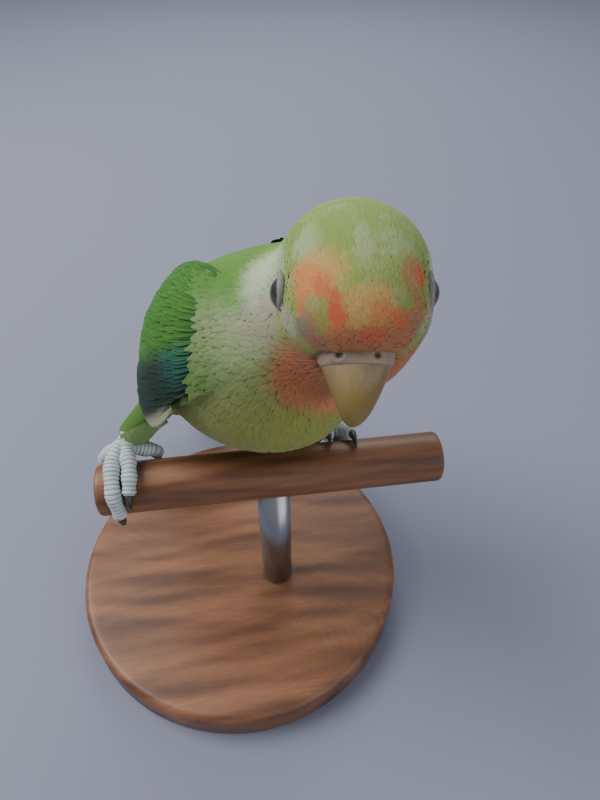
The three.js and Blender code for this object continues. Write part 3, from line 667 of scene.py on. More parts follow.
def contourFeathers(roots):
    # vanes that rise from the skin and then lie flat: each row is set on the field at its own height
    count = len(roots)
    r = regionsOf(roots)
    _, gradient = slope(fleshField, roots)
    normals = unit(gradient)
    lies = lieOf(roots, normals)
    sway = rng.normal(0, 0.09, count)[:, None]
    lies = unit(lies + np.cross(normals, lies) * sway)
    # feathers that run onto the wing are a little shorter and broader
    edge = ease(9, 2, r["t"][:, 0] - wingFront(r["t"]))
    edge = edge * ease(20, 30, r["alpha"]) * ease(115, 105, r["alpha"])
    length = sizeOf(r, "length") * rng.uniform(0.82, 1.15, count) * nearEye(r["h"], 0.65) * (1 - 0.2 * edge)
    width = sizeOf(r, "width") * rng.uniform(0.85, 1.15, count) * (1 + 0.25 * edge)
    depth = coatDepth(roots)
    u = np.array(coat["rows"])[None, :, None]
    v = np.linspace(-1, 1, coat["columns"])[None, None, :]
    outline = mix(0.45, 1, ease(0, 0.45, u)) * roundedEnd(u, 0.5, 0.93)
    fringe = np.where(np.arange(coat["columns"]) % 2, 0.02, -0.03)[None, None, :] * (u > 0.95)
    reach = (u + fringe - 0.06 * v * v * u) * length[:, None, None]
    side = v * outline * width[:, None, None] / 2
    across = np.cross(normals, lies)[:, None, None]
    p = roots[:, None, None] + lies[:, None, None] * reach[..., None] + across * side[..., None]
    rise = rng.uniform(0.2, 1.3, count)[:, None, None] * coat["tipRise"] + cushion(p, roots)
    lifted = 1 - (1 - np.clip(u, 0, 1)) ** coat["flat"]
    high = mix(-depth[:, None, None] - 0.15, rise, lifted) - 0.07 * width[:, None, None] * v * v
    outer = toLevel(p, fleshField, high)
    _, gradient = slope(fleshField, outer)
    flat = unit(gradient)
    shade = mix(flat, normals[:, None, None], coat["own"]) + across * v[..., None] * coat["bow"]
    u, v, _ = np.broadcast_arrays(u, v, reach)
    return outer, outer - flat * coat["thick"], unit(shade), u, v


def tonesOf(roots, outer, u, v):
    # each feather takes the marking where its tip shows, with painted shade: a little darker towards the
    # root, where the feathers above overlap it
    base = markings(mix(roots, outer[:, -1, outer.shape[2] // 2], 0.85))
    base = base * rng.normal(1, 0.03, (len(roots), 1)) * rng.normal(1, 0.015, (len(roots), 3))
    # painted shade: 0.9 at the root, rising to full brightness towards the tip
    light = mix(0.9, 1.01, ease(0, 0.75, u)) + 0 * v
    return np.clip(base[:, None, None] * light[..., None], 0, 1)


def skinUv(p):
    # the head unwraps to a disc round the bill, and the rest to a sleeve round the torso
    r = regionsOf(p)
    h = unit(r["h"] - (-2, 0, -2))
    ring = np.sin(np.arccos(np.clip(h[:, 0], -1, 1)) / 2) * 0.48
    turn = np.arctan2(h[:, 1], h[:, 2])
    disc = np.stack((0.5 + ring * np.cos(turn), 0.5 + ring * np.sin(turn)), -1)
    t = r["t"]
    sleeve = np.stack((np.arctan2(t[:, 1], -t[:, 2]) / (2 * math.pi) + 0.5, (t[:, 0] + 60) / 115), -1)
    return disc, 0.01 + 0.98 * np.clip(sleeve, 0, 1)


def patchUv(rootUv, u, v):
    # a small square of the bake map at the place of each feather's root
    patch = 0.003
    middle = rootUv[:, None, None]
    return np.stack((middle[..., 0] + v * patch / 2, middle[..., 1] + (u - 0.5) * patch), -1)


def barbUv(u, v):
    # across and along each vane, starting at a random place in the pattern of its barbs
    return np.stack((v / 2 + 0.5, u + rng.random((len(u), 1, 1)) * 5), -1)


candidates = sample(skinPiece.data, coat["candidates"])
candidates = candidates[~underWing(candidates)]
regions = regionsOf(candidates)
kept = spreadOut(candidates, sizeOf(regions, "spacing") * nearEye(regions["h"], 0.75))
roots = candidates[kept]
roots = roots[clearOfHardParts(roots)]
roots = roots[toTorso(roots)[:, 0] > -50]
onHead = regionsOf(roots)["head"] > 0.5
forward = toHead(roots)[:, 0] > 0
lower = toTorso(roots)[:, 2] < 0
rightSide = toTorso(roots)[:, 1] < 0
coatPieces = {
    "coatFace": onHead & forward, "coatCrown": onHead & ~forward,
    "coatFrontRight": ~onHead & lower & rightSide, "coatFrontLeft": ~onHead & lower & ~rightSide,
    "coatBackRight": ~onHead & ~lower & rightSide, "coatBackLeft": ~onHead & ~lower & ~rightSide,
}
for name, chosen in coatPieces.items():
    part = roots[chosen]
    outer, inner, shade, u, v = contourFeathers(part)
    slot, unwrap = ("head_plumage", 0) if name in ("coatFace", "coatCrown") else ("body_plumage", 1)
    vaneUv = barbUv(u, v)
    bake = patchUv(skinUv(part)[unwrap], u, v)
    piece = vanePiece(name, outer, inner, tonesOf(part, outer, u, v), bake, vaneUv, shade)
    finish(piece, contourMaterial)
    print(name, len(part), "feathers,", len(piece.data.polygons), "triangles")


# The folded wings, laid on the body drawn out over the tail. Places are (x along the torso, degrees from
# the back).
def onCarrier(sign, x, alpha, lift):
    x, alpha, lift = np.broadcast_arrays(x, alpha, lift)
    turn = np.radians(alpha)
    zero = np.zeros_like(turn)
    way = np.stack((zero, sign * np.sin(turn), np.cos(turn)), -1) @ torsoAxes
    start = fromTorso(np.stack((x, zero, zero), -1))
    reach = borderOf(lambda r: carrierField(start + way * r[..., None]) < lift, zero, zero + 40, 18)
    return start + way * reach[..., None]


flight = {"rows": 15, "columns": 7, "thick": 0.3, "round": 0, "dome": 0.25, "own": 0.55}
covert = {"rows": 8, "columns": 5, "thick": 0.12, "round": 0.9, "dome": 0.12, "own": 0.2, "curve": 1}
wingRows = {
    "primaries": {**flight, "count": 9, "width": 7.6, "tilt": 1.0, "high": (1.7, 2.0), "curve": 0.8,
                  "roots": ((-8, 60), (0, 103)), "tips": ((-46, 36), (-75, 50))},
    "secondaries": {**flight, "count": 10, "width": 7.6, "tilt": 1.2, "high": (1.9, 2.6), "curve": 1,
                    "roots": ((-9, 27), (-13, 84)), "tips": ((-38, 20), (-46, 62))},
    "primaryCoverts": {**covert, "count": 9, "width": 4, "tilt": 0.6, "high": (1.7, 2.6),
                       "roots": ((2, 84), (14, 104)), "tips": ((-17, 82), (-8, 102))},
    "greaterCoverts": {**covert, "count": 15, "width": 4.4, "tilt": 0.7, "high": (1.9, 3.0),
                       "roots": ((-3, 27), (-3, 88)), "tips": ((-22, 24), (-22, 80))},
    "medianCoverts": {**covert, "count": 16, "width": 4.2, "tilt": 0.6, "high": (2.0, 3.1),
                      "roots": ((4, 28), (4, 92)), "tips": ((-11, 28), (-11, 86))},
    "alula": {**covert, "count": 5, "width": 3.6, "tilt": 0.6, "high": (1.9, 3.0),
              "roots": ((17, 90), (18, 101)), "tips": ((0, 89), (3, 101))},
}
lesser = {
    "rows": 12, "count": 34, "from": 8, "width": 2.7, "length": 8.5, "small": 0.55, "tilt": 0.35, "bow": 5,
    "high": (2.0, 3.0), "edge": (0.6, 2),
}


def wingRowsOf(side):
    # the lesser coverts grow smaller towards the bend of the wing, where they sink into the breast
    rows = dict(wingRows)
    front = wingSpan["front"][side]
    for i in range(lesser["rows"]):
        t = i / (lesser["rows"] - 1)
        x = mix(lesser["from"], front + 1.5, t)
        size = mix(1, lesser["small"], t)
        low = 101 - 4 * t
        tip = x - lesser["length"] * size
        rows["lesserCoverts" + str(i + 1)] = {
            **covert, "count": lesser["count"], "width": lesser["width"] * size,
            "tilt": lesser["tilt"], "bow": lesser["bow"] * t * t,
            "high": [mix(high, edge, t**2) for high, edge in zip(lesser["high"], lesser["edge"])],
            "roots": ((x, 26 + 3 * t), (x - 4 * t, low)), "tips": ((tip, 26 + 2 * t), (tip - 3 * t, low)),
        }
    return rows


def vaneGrid(rows, columns):
    # places along and across a firm vane, and the share of its full width
    u = np.linspace(0, 1, rows)[None, :, None] ** 0.85
    v = np.linspace(-1, 1, columns)[None, None, :]
    return u, v, mix(0.6, 1, np.clip(u * 3, 0, 1)) * roundedEnd(u, 0.7, 0.98)


def vaneNormals(outer, way):
    own = unit(np.cross(np.gradient(outer, axis=1), np.gradient(outer, axis=2)))
    return own * np.sign((own * way).sum(-1, keepdims=True))


def standOff(x, alpha):
    # the lower edge of the wing is held a little away from the flank
    return wingSpan["standOff"] * ease(66, 104, alpha) * ease(26, 8, x) * ease(-30, -8, x)


def wingVanes(sign, row):
    count = row["count"]
    t = np.linspace(0, 1, count)[:, None, None]
    jitter = rng.normal(0, 0.02, (4, count, 1, 1))
    rootX, rootA = (mix(row["roots"][0][i], row["roots"][1][i], t) for i in (0, 1))
    tipX = mix(row["tips"][0][0], row["tips"][1][0], t ** row["curve"]) + 14 * jitter[0]
    tipA = mix(row["tips"][0][1], row["tips"][1][1], t) + 40 * jitter[1]
    u, v, outline = vaneGrid(row["rows"], row["columns"])
    middle = mix(rootA, tipA, u**0.85)
    flatX = mix(rootX, tipX, u)
    start = fromTorso(np.stack((flatX, 0 * flatX, 0 * flatX), -1))
    radius = np.linalg.norm(onCarrier(sign, flatX, middle, 0) - start, axis=-1)
    alpha = middle + np.degrees(v * row["width"] * outline / 2 / radius)
    x = flatX - row.get("bow", 0) * ((middle - 65) / 40) ** 2 + row["round"] * (v * outline) ** 2 * u
    lifted = 1 - (1 - u) ** (1.6 if row["columns"] == covert["columns"] else 1)
    high = mix(row["high"][0], row["high"][1], lifted) + row["tilt"] * v / 2 - row["dome"] * v * v * outline
    high = high + 3 * jitter[2] + standOff(x, alpha)
    outer = onCarrier(sign, x, alpha, high)
    inner = onCarrier(sign, x, alpha, high - row["thick"])
    smooth = unit(slope(carrierField, outer)[1])
    shade = unit(mix(smooth, vaneNormals(outer, smooth), row["own"]))
    u, v, _ = np.broadcast_arrays(u, v, alpha)
    return outer, inner, shade, u, v, x, alpha


def wingTones(name, u, v, x, alpha):
    # u runs from root to tip and v across to the lower edge; x and alpha are the place on the wing
    count = len(u)
    shade = rng.normal(1, 0.06, (count, 1, 1, 1)) * rng.normal(1, 0.02, (count, 1, 1, 3))
    if name in ("primaries", "secondaries"):
        outerWeb = ease(0.05, 0.5, -v)
        green = 0.75 if name == "secondaries" else 0.35
        tone = mix(colour["quill"], colour["quillEdge"], (green * outerWeb * ease(1, 0.6, u))[..., None])
        tone = mix(tone, colour["cream"], (0.35 * ease(0.86, 1, -v))[..., None])
    else:
        # painted shade: each covert darker towards its root, under the row above
        tone = mix(colour["wingDeep"], colour["wing"], (0.4 + 0.6 * ease(0.3, 0.9, u))[..., None])
        # painted shade: the lower front of the wing, near the bend and under the breast, darkened nearly to
        # the quill colour
        dark = ease(70, 84, alpha) * ease(27, 21, x) * 0.95
        tone = mix(tone, colour["quill"], dark[..., None])
        blue = ease(70, 80, alpha) * ease(100, 90, alpha) * ease(17, 23, x) * ease(31, 26, x)
        tone = mix(tone, colour["turquoise"], (0.4 * blue)[..., None])
        # painted highlight: a little lighter along the edges and at the tip
        tone = tone * (1 + 0.06 * ease(0.7, 1, np.abs(v)) + 0.05 * ease(0.85, 1, u))[..., None]
        tone = mix(tone, colour["cream"], (ease(99, 105, alpha) * ease(30, 25, x) * 0.8)[..., None])
    shaft = 1 - 0.25 * ease(0.22, 0.0, np.abs(v))
    return np.clip(tone * shaft[..., None] * shade, 0, 1)


def cellUv(first, total, u, v):
    # every flight feather and covert has its own cell of the bake map, with a margin round it
    side = math.ceil(math.sqrt(total))
    index = first + np.arange(len(u))[:, None, None]
    column, row = index % side, index // side
    return np.stack((column + 0.06 + 0.88 * (v / 2 + 0.5), row + 0.06 + 0.88 * u), -1) / side


def wingPad(side):
    # the hand and arm under the coverts, as a closed low cushion
    u = np.linspace(0, 1, pad["rows"])[None, :, None]
    v = np.linspace(-1, 1, pad["columns"])[None, None, :]
    x = mix(wingSpan["front"][side], wingSpan["back"], u) - wingSpan["bend"] * v * v * (1 - u)
    alpha = mix(wingSpan["top"], pad["low"], (v + 1) / 2) - wingSpan["bend"] * (1 - u) * v
    swell = np.sqrt(np.maximum(0, 1 - v**4)) * np.sqrt(np.maximum(0, 1 - (1 - u) ** 4)) * ease(1.001, 0.85, u)
    high = pad["bottom"] + pad["rim"] + pad["thick"] * swell + standOff(x, alpha)
    outer = onCarrier(sideSigns[side], x, alpha, high)
    inner = onCarrier(sideSigns[side], x, alpha, pad["bottom"])
    tint = np.clip(mix(colour["wing"], colour["quill"], ease(78, 90, alpha)[..., None]), 0, 1)
    shade = unit(slope(carrierField, outer)[1])
    u, v = np.broadcast_arrays(u, v)
    return outer, inner, tint, cellUv(0, 1, u, v), np.stack((v / 2 + 0.5, u), -1), shade


def makeWing(side):
    sign = sideSigns[side]
    rows = wingRowsOf(side)
    total = sum(row["count"] for row in rows.values())
    batches = {"flightFeathers": [], "coverts": []}
    first = 0
    for name, row in rows.items():
        outer, inner, shade, u, v, x, alpha = wingVanes(sign, row)
        tint = wingTones(name, u, v, x, alpha)
        batch = "flightFeathers" if row["rows"] == flight["rows"] else "coverts"
        batches[batch].append([outer, inner, tint, cellUv(first, total, u, v), barbUv(u, v), shade])
        first += len(outer)
    for batch, made in batches.items():
        arrays = [np.concatenate(group) for group in zip(*made)]
        finish(vanePiece(batch + side.title(), *arrays), flightMaterial)
    padPiece = vanePiece("wingPad" + side.title(), *wingPad(side))
    finish(padPiece, contourMaterial)
    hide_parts("wing_" + side)


for side in sideSigns:
    makeWing(side)


# The tail: six pairs of feathers, the middle pair on top, with coverts over and under their roots.
tail = {
    "pairs": 6, "root": -47, "length": (-97, -87), "width": 7.4, "layer": 0.42, "spread": (1.5, 8.2),
    "grid": (21, 9), "thick": 0.35, "dome": 0.45, "covertWidth": 5.2, "covertGrid": (11, 7),
    "green": "#3E7A34", "edge": "#6F8F3A", "orange": "#D8602E", "black": "#1B1E1C", "end": "#4E8F6E",
    "under": "#7DA24A",
}


def tailVanes(roots, tips, width, dome, rows, columns, rounding):
    a, b = np.array(roots, float)[:, None, None], np.array(tips, float)[:, None, None]
    u, v, outline = vaneGrid(rows, columns)
    along = unit(b - a)
    across = np.cross(np.broadcast_to((0, 0, 1.0), along.shape), along)
    q = mix(a, b, u[..., None]) + across * (v * width * outline / 2)[..., None]
    q = q + np.stack((rounding * (v * outline) ** 2 * u, 0 * v * u, -dome * v * v * outline), -1)
    outer = fromTorso(q)
    inner = fromTorso(q - (0, 0, math.copysign(tail["thick"], dome)))
    u, v, _ = np.broadcast_arrays(u, v, q[..., 0])
    return outer, inner, vaneNormals(outer, torsoAxes[2] * np.sign(dome)), u, v


def tailTones(kind, u, v):
    # the bars are stronger on the outer pairs and stop short of the edges
    count = len(u)
    if kind == "quills":
        t = (np.arange(count) // 2 / (count / 2 - 1))[:, None, None]
        tone = mix(linear(tail["green"]), linear(tail["edge"]), (0.3 * np.abs(v))[..., None])
        band = ease(0.6, 0.66, u) * ease(0.84, 0.8, u) * ease(0.0, 0.3, t)
        tone = mix(tone, linear(tail["orange"]), (band * ease(1.0, 0.7, np.abs(v)) * 0.9)[..., None])
        dark = ease(0.8, 0.84, u) * ease(0.93, 0.9, u) * (0.4 + 0.6 * t)
        tone = mix(tone, linear(tail["black"]), dark[..., None])
        tone = mix(tone, linear(tail["end"]), ease(0.92, 0.96, u)[..., None])
    else:
        tone = np.tile(colour["rump"] if kind == "upper" else linear(tail["under"]), (*u.shape, 1))
    shade = rng.normal(1, 0.05, (count, 1, 1, 1))
    shaft = 1 - 0.3 * ease(0.2, 0.0, np.abs(v))
    return np.clip(tone * shaft[..., None] * shade, 0, 1)


def makeTail():
    roots, tips = [], []
    for i in range(tail["pairs"]):
        for sign in (-1, 1):
            t = i / (tail["pairs"] - 1)
            z = 1.9 - tail["layer"] * i - (0.12 if sign > 0 else 0)
            roots.append((tail["root"], sign * mix(1, 4.4, t), z + 0.2))
            tips.append((mix(*tail["length"], t**1.6), sign * mix(*tail["spread"], t), z - 1.1 * t))
    upper = [((-44 - 2 * j, y * 0.8, 3.6 - 0.1 * abs(y) + 0.2 * j), (-62 - 3.5 * j, y, 3.2 + 0.12 * j))
             for j in range(3) for y in (-5.4, 5.4, -3.6, 3.6, -1.8, 1.8, 0)]
    under = [((-43 - 2 * j, y * 0.8, -1.4 - 0.15 * j), (-65 - 3.5 * j, y, -1.9 - 0.12 * j))
             for j in range(3) for y in (-4.8, 4.8, -2.4, 2.4, 0)]
    groups = {
        "quills": ("tailFeathers", roots, tips, tail["width"], tail["dome"], *tail["grid"], 3),
        "upper": ("tailCovertsUpper", *zip(*upper), tail["covertWidth"], 0.5, *tail["covertGrid"], 1.5),
        "under": ("tailCovertsUnder", *zip(*under), tail["covertWidth"], -0.4, *tail["covertGrid"], 1.5),
    }
    for kind, (name, *sizes) in groups.items():
        outer, inner, shade, u, v = tailVanes(*sizes)
        tint = tailTones(kind, u, v)
        piece = vanePiece(name, outer, inner, tint, cellUv(0, len(u), u, v), barbUv(u, v), shade)
        finish(piece, flightMaterial, ("tail",) if kind == "quills" else ())
    print("tail:", len(roots), "quills")


makeTail()

# Closed forms from rings of places. The tone gives the colour at each place in millimetres.
def loftPiece(name, rings, tone):
    count, sides, _ = rings.shape
    index = np.arange(count * sides).reshape(count, sides)
    turned = np.roll(index, -1, axis=1)
    faces = np.stack((index[:-1], turned[:-1], turned[1:], index[1:]), -1).reshape(-1, 4).tolist()
    ends = count * sides
    faces += [[ends, b, a] for a, b in zip(index[0], turned[0])]
    faces += [[ends + 1, a, b] for a, b in zip(index[-1], turned[-1])]
    points = np.concatenate((rings.reshape(-1, 3), rings[:1].mean(1), rings[-1:].mean(1)))
    piece = pieceFrom(name, points, faces)
    mesh = piece.data
    mesh.calc_loop_triangles()
    a, b, c = (points[[t.vertices[i] for t in mesh.loop_triangles]] for i in range(3))
    if (a * np.cross(b, c)).sum() < 0:
        mesh.flip_normals()
    paintOn(mesh, tone(points))
    return piece


def evenly(code):
    # one colour over a whole piece
    return lambda points: np.tile(linear(code), (len(points), 1))


def hornMaterial(name, values, grains, stretch=(1, 1, 1)):
    # the painted colour, mottled and roughened by noises: size in millimetres, detail, streak and bump
    material, tree, shader = newMaterial(name, values)
    tint = paintedTint(tree)
    place = addNode(tree, "ShaderNodeTexCoord").outputs["Object"]
    drawn = {0: place, 1: stretch}
    place = addNode(tree, "ShaderNodeVectorMath", {"operation": "MULTIPLY"}, drawn).outputs[0]
    normal = {}
    for size, detail, streak, bump in grains:
        spots = {0: place, "Scale": 1 / (size * mm), "Detail": detail}
        noise = addNode(tree, "ShaderNodeTexNoise", inputs=spots).outputs["Fac"]
        tint = mottled(tree, tint, noise, streak)
        relief = {"Strength": bump, "Distance": size * mm * 0.1, "Height": noise, **normal}
        normal = {"Normal": addNode(tree, "ShaderNodeBump", inputs=relief).outputs[0]}
    tree.links.new(tint, shader.inputs["Base Color"])
    tree.links.new(normal["Normal"], shader.inputs["Normal"])
    return material


# The bill: sections between a round ridge and the cutting edge, under a soft cere with two nostrils.
bill = {
    "arcAt": (7.35, -7.4), "arcRadius": 9.25, "arc": (80, -50), "width": 10.8, "blunt": 0.92,
    "rows": 64, "sides": 64, "edgeFrom": (4.2, -5.4), "edgeTo": (12.6, -13.4), "edgeBend": (0.9, 2.2),
    "pale": "#97826A", "deep": "#8A753C", "tip": "#75633A",
}
lowerBill = {
    "x": (3.5, 11.2), "z": (-9.6, -10.6), "sag": 1.2, "wide": (4.3, 2.6), "tall": (3.6, 1.7), "rows": 28,
}
cere = {
    "swell": 0.24, "edge": (12.6, 0, 0.2), "way": (0.88, 0, -0.47), "rows": 40, "sides": 160,
    "nostril": (11.3, 2.8, 0.75), "dent": 0.3, "rim": 0.12, "pale": "#94826F", "deep": "#82705E",
}

def billPlace(t, turn, grow):
    t, turn, grow = np.broadcast_arrays(t, turn, grow)
    angle = np.radians(mix(*bill["arc"], t))
    zero = np.zeros_like(t)
    ridge = [bill["arcAt"][i] + bill["arcRadius"] * (np.cos, np.sin)[i](angle) for i in (0, 1)]
    top = np.stack((ridge[0], zero, ridge[1]), -1)
    low = [mix(bill["edgeFrom"][i], bill["edgeTo"][i], t ** bill["edgeBend"][i]) for i in (0, 1)]
    half = (top - np.stack((low[0], zero, low[1]), -1)) / 2
    round_ = roundedEnd(t, bill["blunt"], 0.98)
    tall = (np.linalg.norm(half, axis=-1) + grow) * round_
    wide = (bill["width"] / 2 * np.minimum(1, 1.23 - 1.1 * t) + grow) * round_
    q = top - half + unit(half) * (tall * np.cos(turn))[..., None]
    q[..., 1] += wide * np.sin(turn) * (1 + 0.12 * np.cos(turn))
    return q


def makeBill():
    t = np.linspace(0, 1, bill["rows"])[:, None] ** 0.9
    turn = turnsOf(bill["sides"])[None, :]

    def tone(points):
        q = toHead(points)
        down = ease(2.5, -5, q[:, 2] + 0.4 * cloud(points, 2.5, 21))
        tint = mix(linear(bill["pale"]), linear(bill["deep"]), down[:, None])
        # painted highlight along a line on the bird's right of the ridge, and painted shade down both sides
        # of the bill
        tint = tint * (1.06 - 0.25 * ease(1.2, 3.5, np.abs(q[:, 1] + 1.2)))[:, None]
        return mix(tint, linear(bill["tip"]), ease(-12.6, -14.6, q[:, 2])[:, None] * 0.7)

    upper = loftPiece("billUpper", fromHead(billPlace(t, turn, 0.0)), tone)
    u = np.linspace(0, 1, lowerBill["rows"])[:, None]
    z = mix(*lowerBill["z"], u) - lowerBill["sag"] * np.sin(math.pi * u)
    middle = np.stack((mix(*lowerBill["x"], u), 0 * u, z), -1)
    shrink = roundedEnd(u, 0.85, 0.97)
    wide = mix(*lowerBill["wide"], u**1.5) * (1 - 0.35 * u**4) * shrink
    tall = mix(*lowerBill["tall"], u) * shrink
    turn = turn[:, ::2]
    rings = middle + np.stack((0 * u * turn, wide * np.sin(turn), tall * np.cos(turn)), -1)
    lower = loftPiece("billLower", fromHead(rings), tone)
    # layered horn: a satin shine, lit a little from within, with streaks that run down the bill
    material = hornMaterial(
        "Polished horn of the bill",
        {"Roughness": 0.42, "Specular IOR Level": 0.4, "Subsurface Weight": 0.12,
         "Subsurface Scale": 1 * mm, "Subsurface Radius": (1, 0.6, 0.3)},
        ((3.5, 3, 0.12, 0.1), (0.5, 2, 0.06, 0.25)), (1, 1, 0.4),
    )
    finish(upper, material, ("bill_upper",))
    finish(lower, material, ("bill_lower",))


def makeCere():
    turn = turnsOf(cere["sides"])
    way, edge = unit(np.array(cere["way"])), np.array(cere["edge"])
    start = np.full_like(turn, 0.02)

    def behind(t):
        return ((billPlace(t, turn, cere["swell"]) - edge) @ way) < 0

    reach = borderOf(behind, start, np.full_like(turn, 0.7), 20)
    u = np.linspace(0, 1, cere["rows"])[:, None]
    grow = cere["swell"] * (1 + 0.5 * ease(0.8, 0.2, u)) * roundedEnd(u, 0.7, 1) - 0.05 * (u == 1)
    q = billPlace(start + (reach[None, :] - start) * u, turn[None, :], grow)
    out = unit(q - billPlace(0.15, 0.0, -4.0))
    for sign in sideSigns.values():
        away = np.linalg.norm(q - np.array(cere["nostril"]) * (1, sign, 1), axis=-1)
        swell = cere["rim"] * np.exp(-(((away - 1) / 0.35) ** 2))
        dent = cere["dent"] * np.exp(-((away / 0.45) ** 2))
        q = q + out * (swell - dent)[..., None]

    def tone(points):
        q = toHead(points)
        # painted shade: darker on the bird's right half of the cere, paler on its left
        tint = mix(linear(cere["deep"]), linear(cere["pale"]), ease(-3, 3, q[:, 1])[:, None])
        q[:, 1] = np.abs(q[:, 1])
        away = np.linalg.norm(q - cere["nostril"], axis=-1)
        # painted shade in the nostrils: nearly black at the middle of each opening
        return tint * mix(0.12, 1, ease(0.3, 0.7, away))[:, None]

    piece = loftPiece("cereSkin", fromHead(q), tone)
    # waxy bare skin: dull, soft in the light, with fine pores
    material = hornMaterial(
        "Waxy bare skin of the cere",
        {"Roughness": 0.55, "Subsurface Weight": 0.2, "Subsurface Scale": 1 * mm},
        ((1.6, 2, 0.1, 0.2), (0.3, 2, 0.05, 0.4)),
    )
    finish(piece, material, ("cere",))


makeBill()
makeCere()
print("bill and cere ready")

# The eyes: a glossy ball behind a ring of bare lid with a row of small beads.
eyes = {
    "radius": 2.95, "out": 1.0, "opening": 2.75, "corner": 0.14, "headSide": (3.25, 26), "pupil": 0.6,
    "profile": ((-0.35, -1.6), (-0.16, -0.5), (0, -0.3), (0.16, -0.28), (0.3, -0.5), (0.25, -1.6)),
    "iris": "#1C110C", "black": "#070505", "lid": "#84827A",
    "beads": 54, "beadRadius": 0.09, "beadRow": (0.1, -0.24),
}


def eyeballRings(side, sign):
    polar = np.linspace(0, math.pi, 42)[1:-1, None]
    turn = turnsOf(48)[None, :]
    flat = eyes["radius"] * np.sin(polar)
    out = 0 * turn + sign * (eyes["out"] + eyes["radius"] * np.cos(polar))
    q = np.stack((flat * np.cos(turn), out, flat * np.sin(turn)), -1)
    return fromHead(toHead(eyeMiddles[side]) + q)


def lidPlace(side, sign, turn, beyond, high):
    # beyond is the distance outside the opening, and high is over the head's surface at the eye
    r = eyes["opening"] * (1 + eyes["corner"] * np.abs(np.cos(turn + 0.5)) ** 6) + beyond
    atEye, roundness = eyes["headSide"]
    q = np.stack((r * np.cos(turn), sign * (atEye - r * r / roundness + high), r * np.sin(turn)), -1)
    return fromHead(toHead(eyeMiddles[side]) + q)


def newTree(name, inputs, output):
    # an empty Geometry Nodes tree with its named inputs, and the sockets that they come in by
    tree = bpy.data.node_groups.new(name, "GeometryNodeTree")
    for label, kind in inputs.items():
        tree.interface.new_socket(label, in_out="INPUT", socket_type="NodeSocket" + kind)
    tree.interface.new_socket(output, in_out="OUTPUT", socket_type="NodeSocketGeometry")
    return tree, addNode(tree, "NodeGroupInput").outputs


def endTree(tree, geometry, material):
    # instances made real, smooth, and given their material
    real = addNode(tree, "GeometryNodeRealizeInstances", inputs={0: geometry}).outputs[0]
    soft = addNode(tree, "GeometryNodeSetShadeSmooth", inputs={0: real}).outputs[0]
    painted = addNode(tree, "GeometryNodeSetMaterial", inputs={0: soft, "Material": material}).outputs[0]
    addNode(tree, "NodeGroupOutput", inputs={0: painted})
    return tree


def beadTree(material):
    # small balls of slightly different sizes along the closed curve of a lid
    inputs = {"Lid": "Geometry", "Bead radius": "Float", "Count": "Int"}
    tree, given = newTree("Beads along a lid", inputs, "Beads")
    row = {"Curve": given["Lid"], "Count": given["Count"]}
    points = addNode(tree, "GeometryNodeCurveToPoints", {"mode": "COUNT"}, row).outputs["Points"]
    ball = {"Segments": 10, "Rings": 6, "Radius": given["Bead radius"]}
    bead = addNode(tree, "GeometryNodeMeshUVSphere", inputs=ball).outputs["Mesh"]
    vary = addNode(tree, "FunctionNodeRandomValue", inputs={2: 0.75, 3: 1.2, "Seed": 4}).outputs[1]
    each = {"Points": points, "Instance": bead, "Scale": vary}
    return endTree(tree, addNode(tree, "GeometryNodeInstanceOnPoints", inputs=each).outputs[0], material)


def fromTree(name, source, tree, values):
    # the tree's result on the source, as a plain mesh
    modifier = source.modifiers.new("made", "NODES")
    modifier.node_group = tree
    sockets = {item.name: item.identifier for item in tree.interface.items_tree if item.in_out == "INPUT"}
    for label, value in values.items():
        modifier[sockets[label]] = value
    return addObject(name, plainMesh(source))


def pathObject(name, paths, radii, closed=False):
    data = bpy.data.curves.new(name, "CURVE")
    data.dimensions = "3D"
    for path, radius in zip(paths, radii):
        spline = data.splines.new("POLY")
        spline.points.add(len(path) - 1)
        spline.points.foreach_set("co", np.concatenate((path * mm, np.ones((len(path), 1))), -1).ravel())
        spline.points.foreach_set("radius", radius)
        spline.use_cyclic_u = closed
    return addObject(name, data)


# thin bare skin: dull, with fine creases
lidMaterial = hornMaterial(
    "Bare lid of the eye", {"Roughness": 0.6, "Subsurface Weight": 0.15, "Subsurface Scale": 1 * mm},
    ((0.8, 2, 0.12, 0.3),),
)
# a film of tears over a dark iris: black, with sharp small highlights
eyeMaterial = hornMaterial(
    "Wet dark eye", {"Roughness": 0.12, "Coat Weight": 1, "Coat Roughness": 0.02, "Specular IOR Level": 0.6},
    ((1.2, 2, 0.25, 0),),
)
lidBeads = beadTree(lidMaterial)


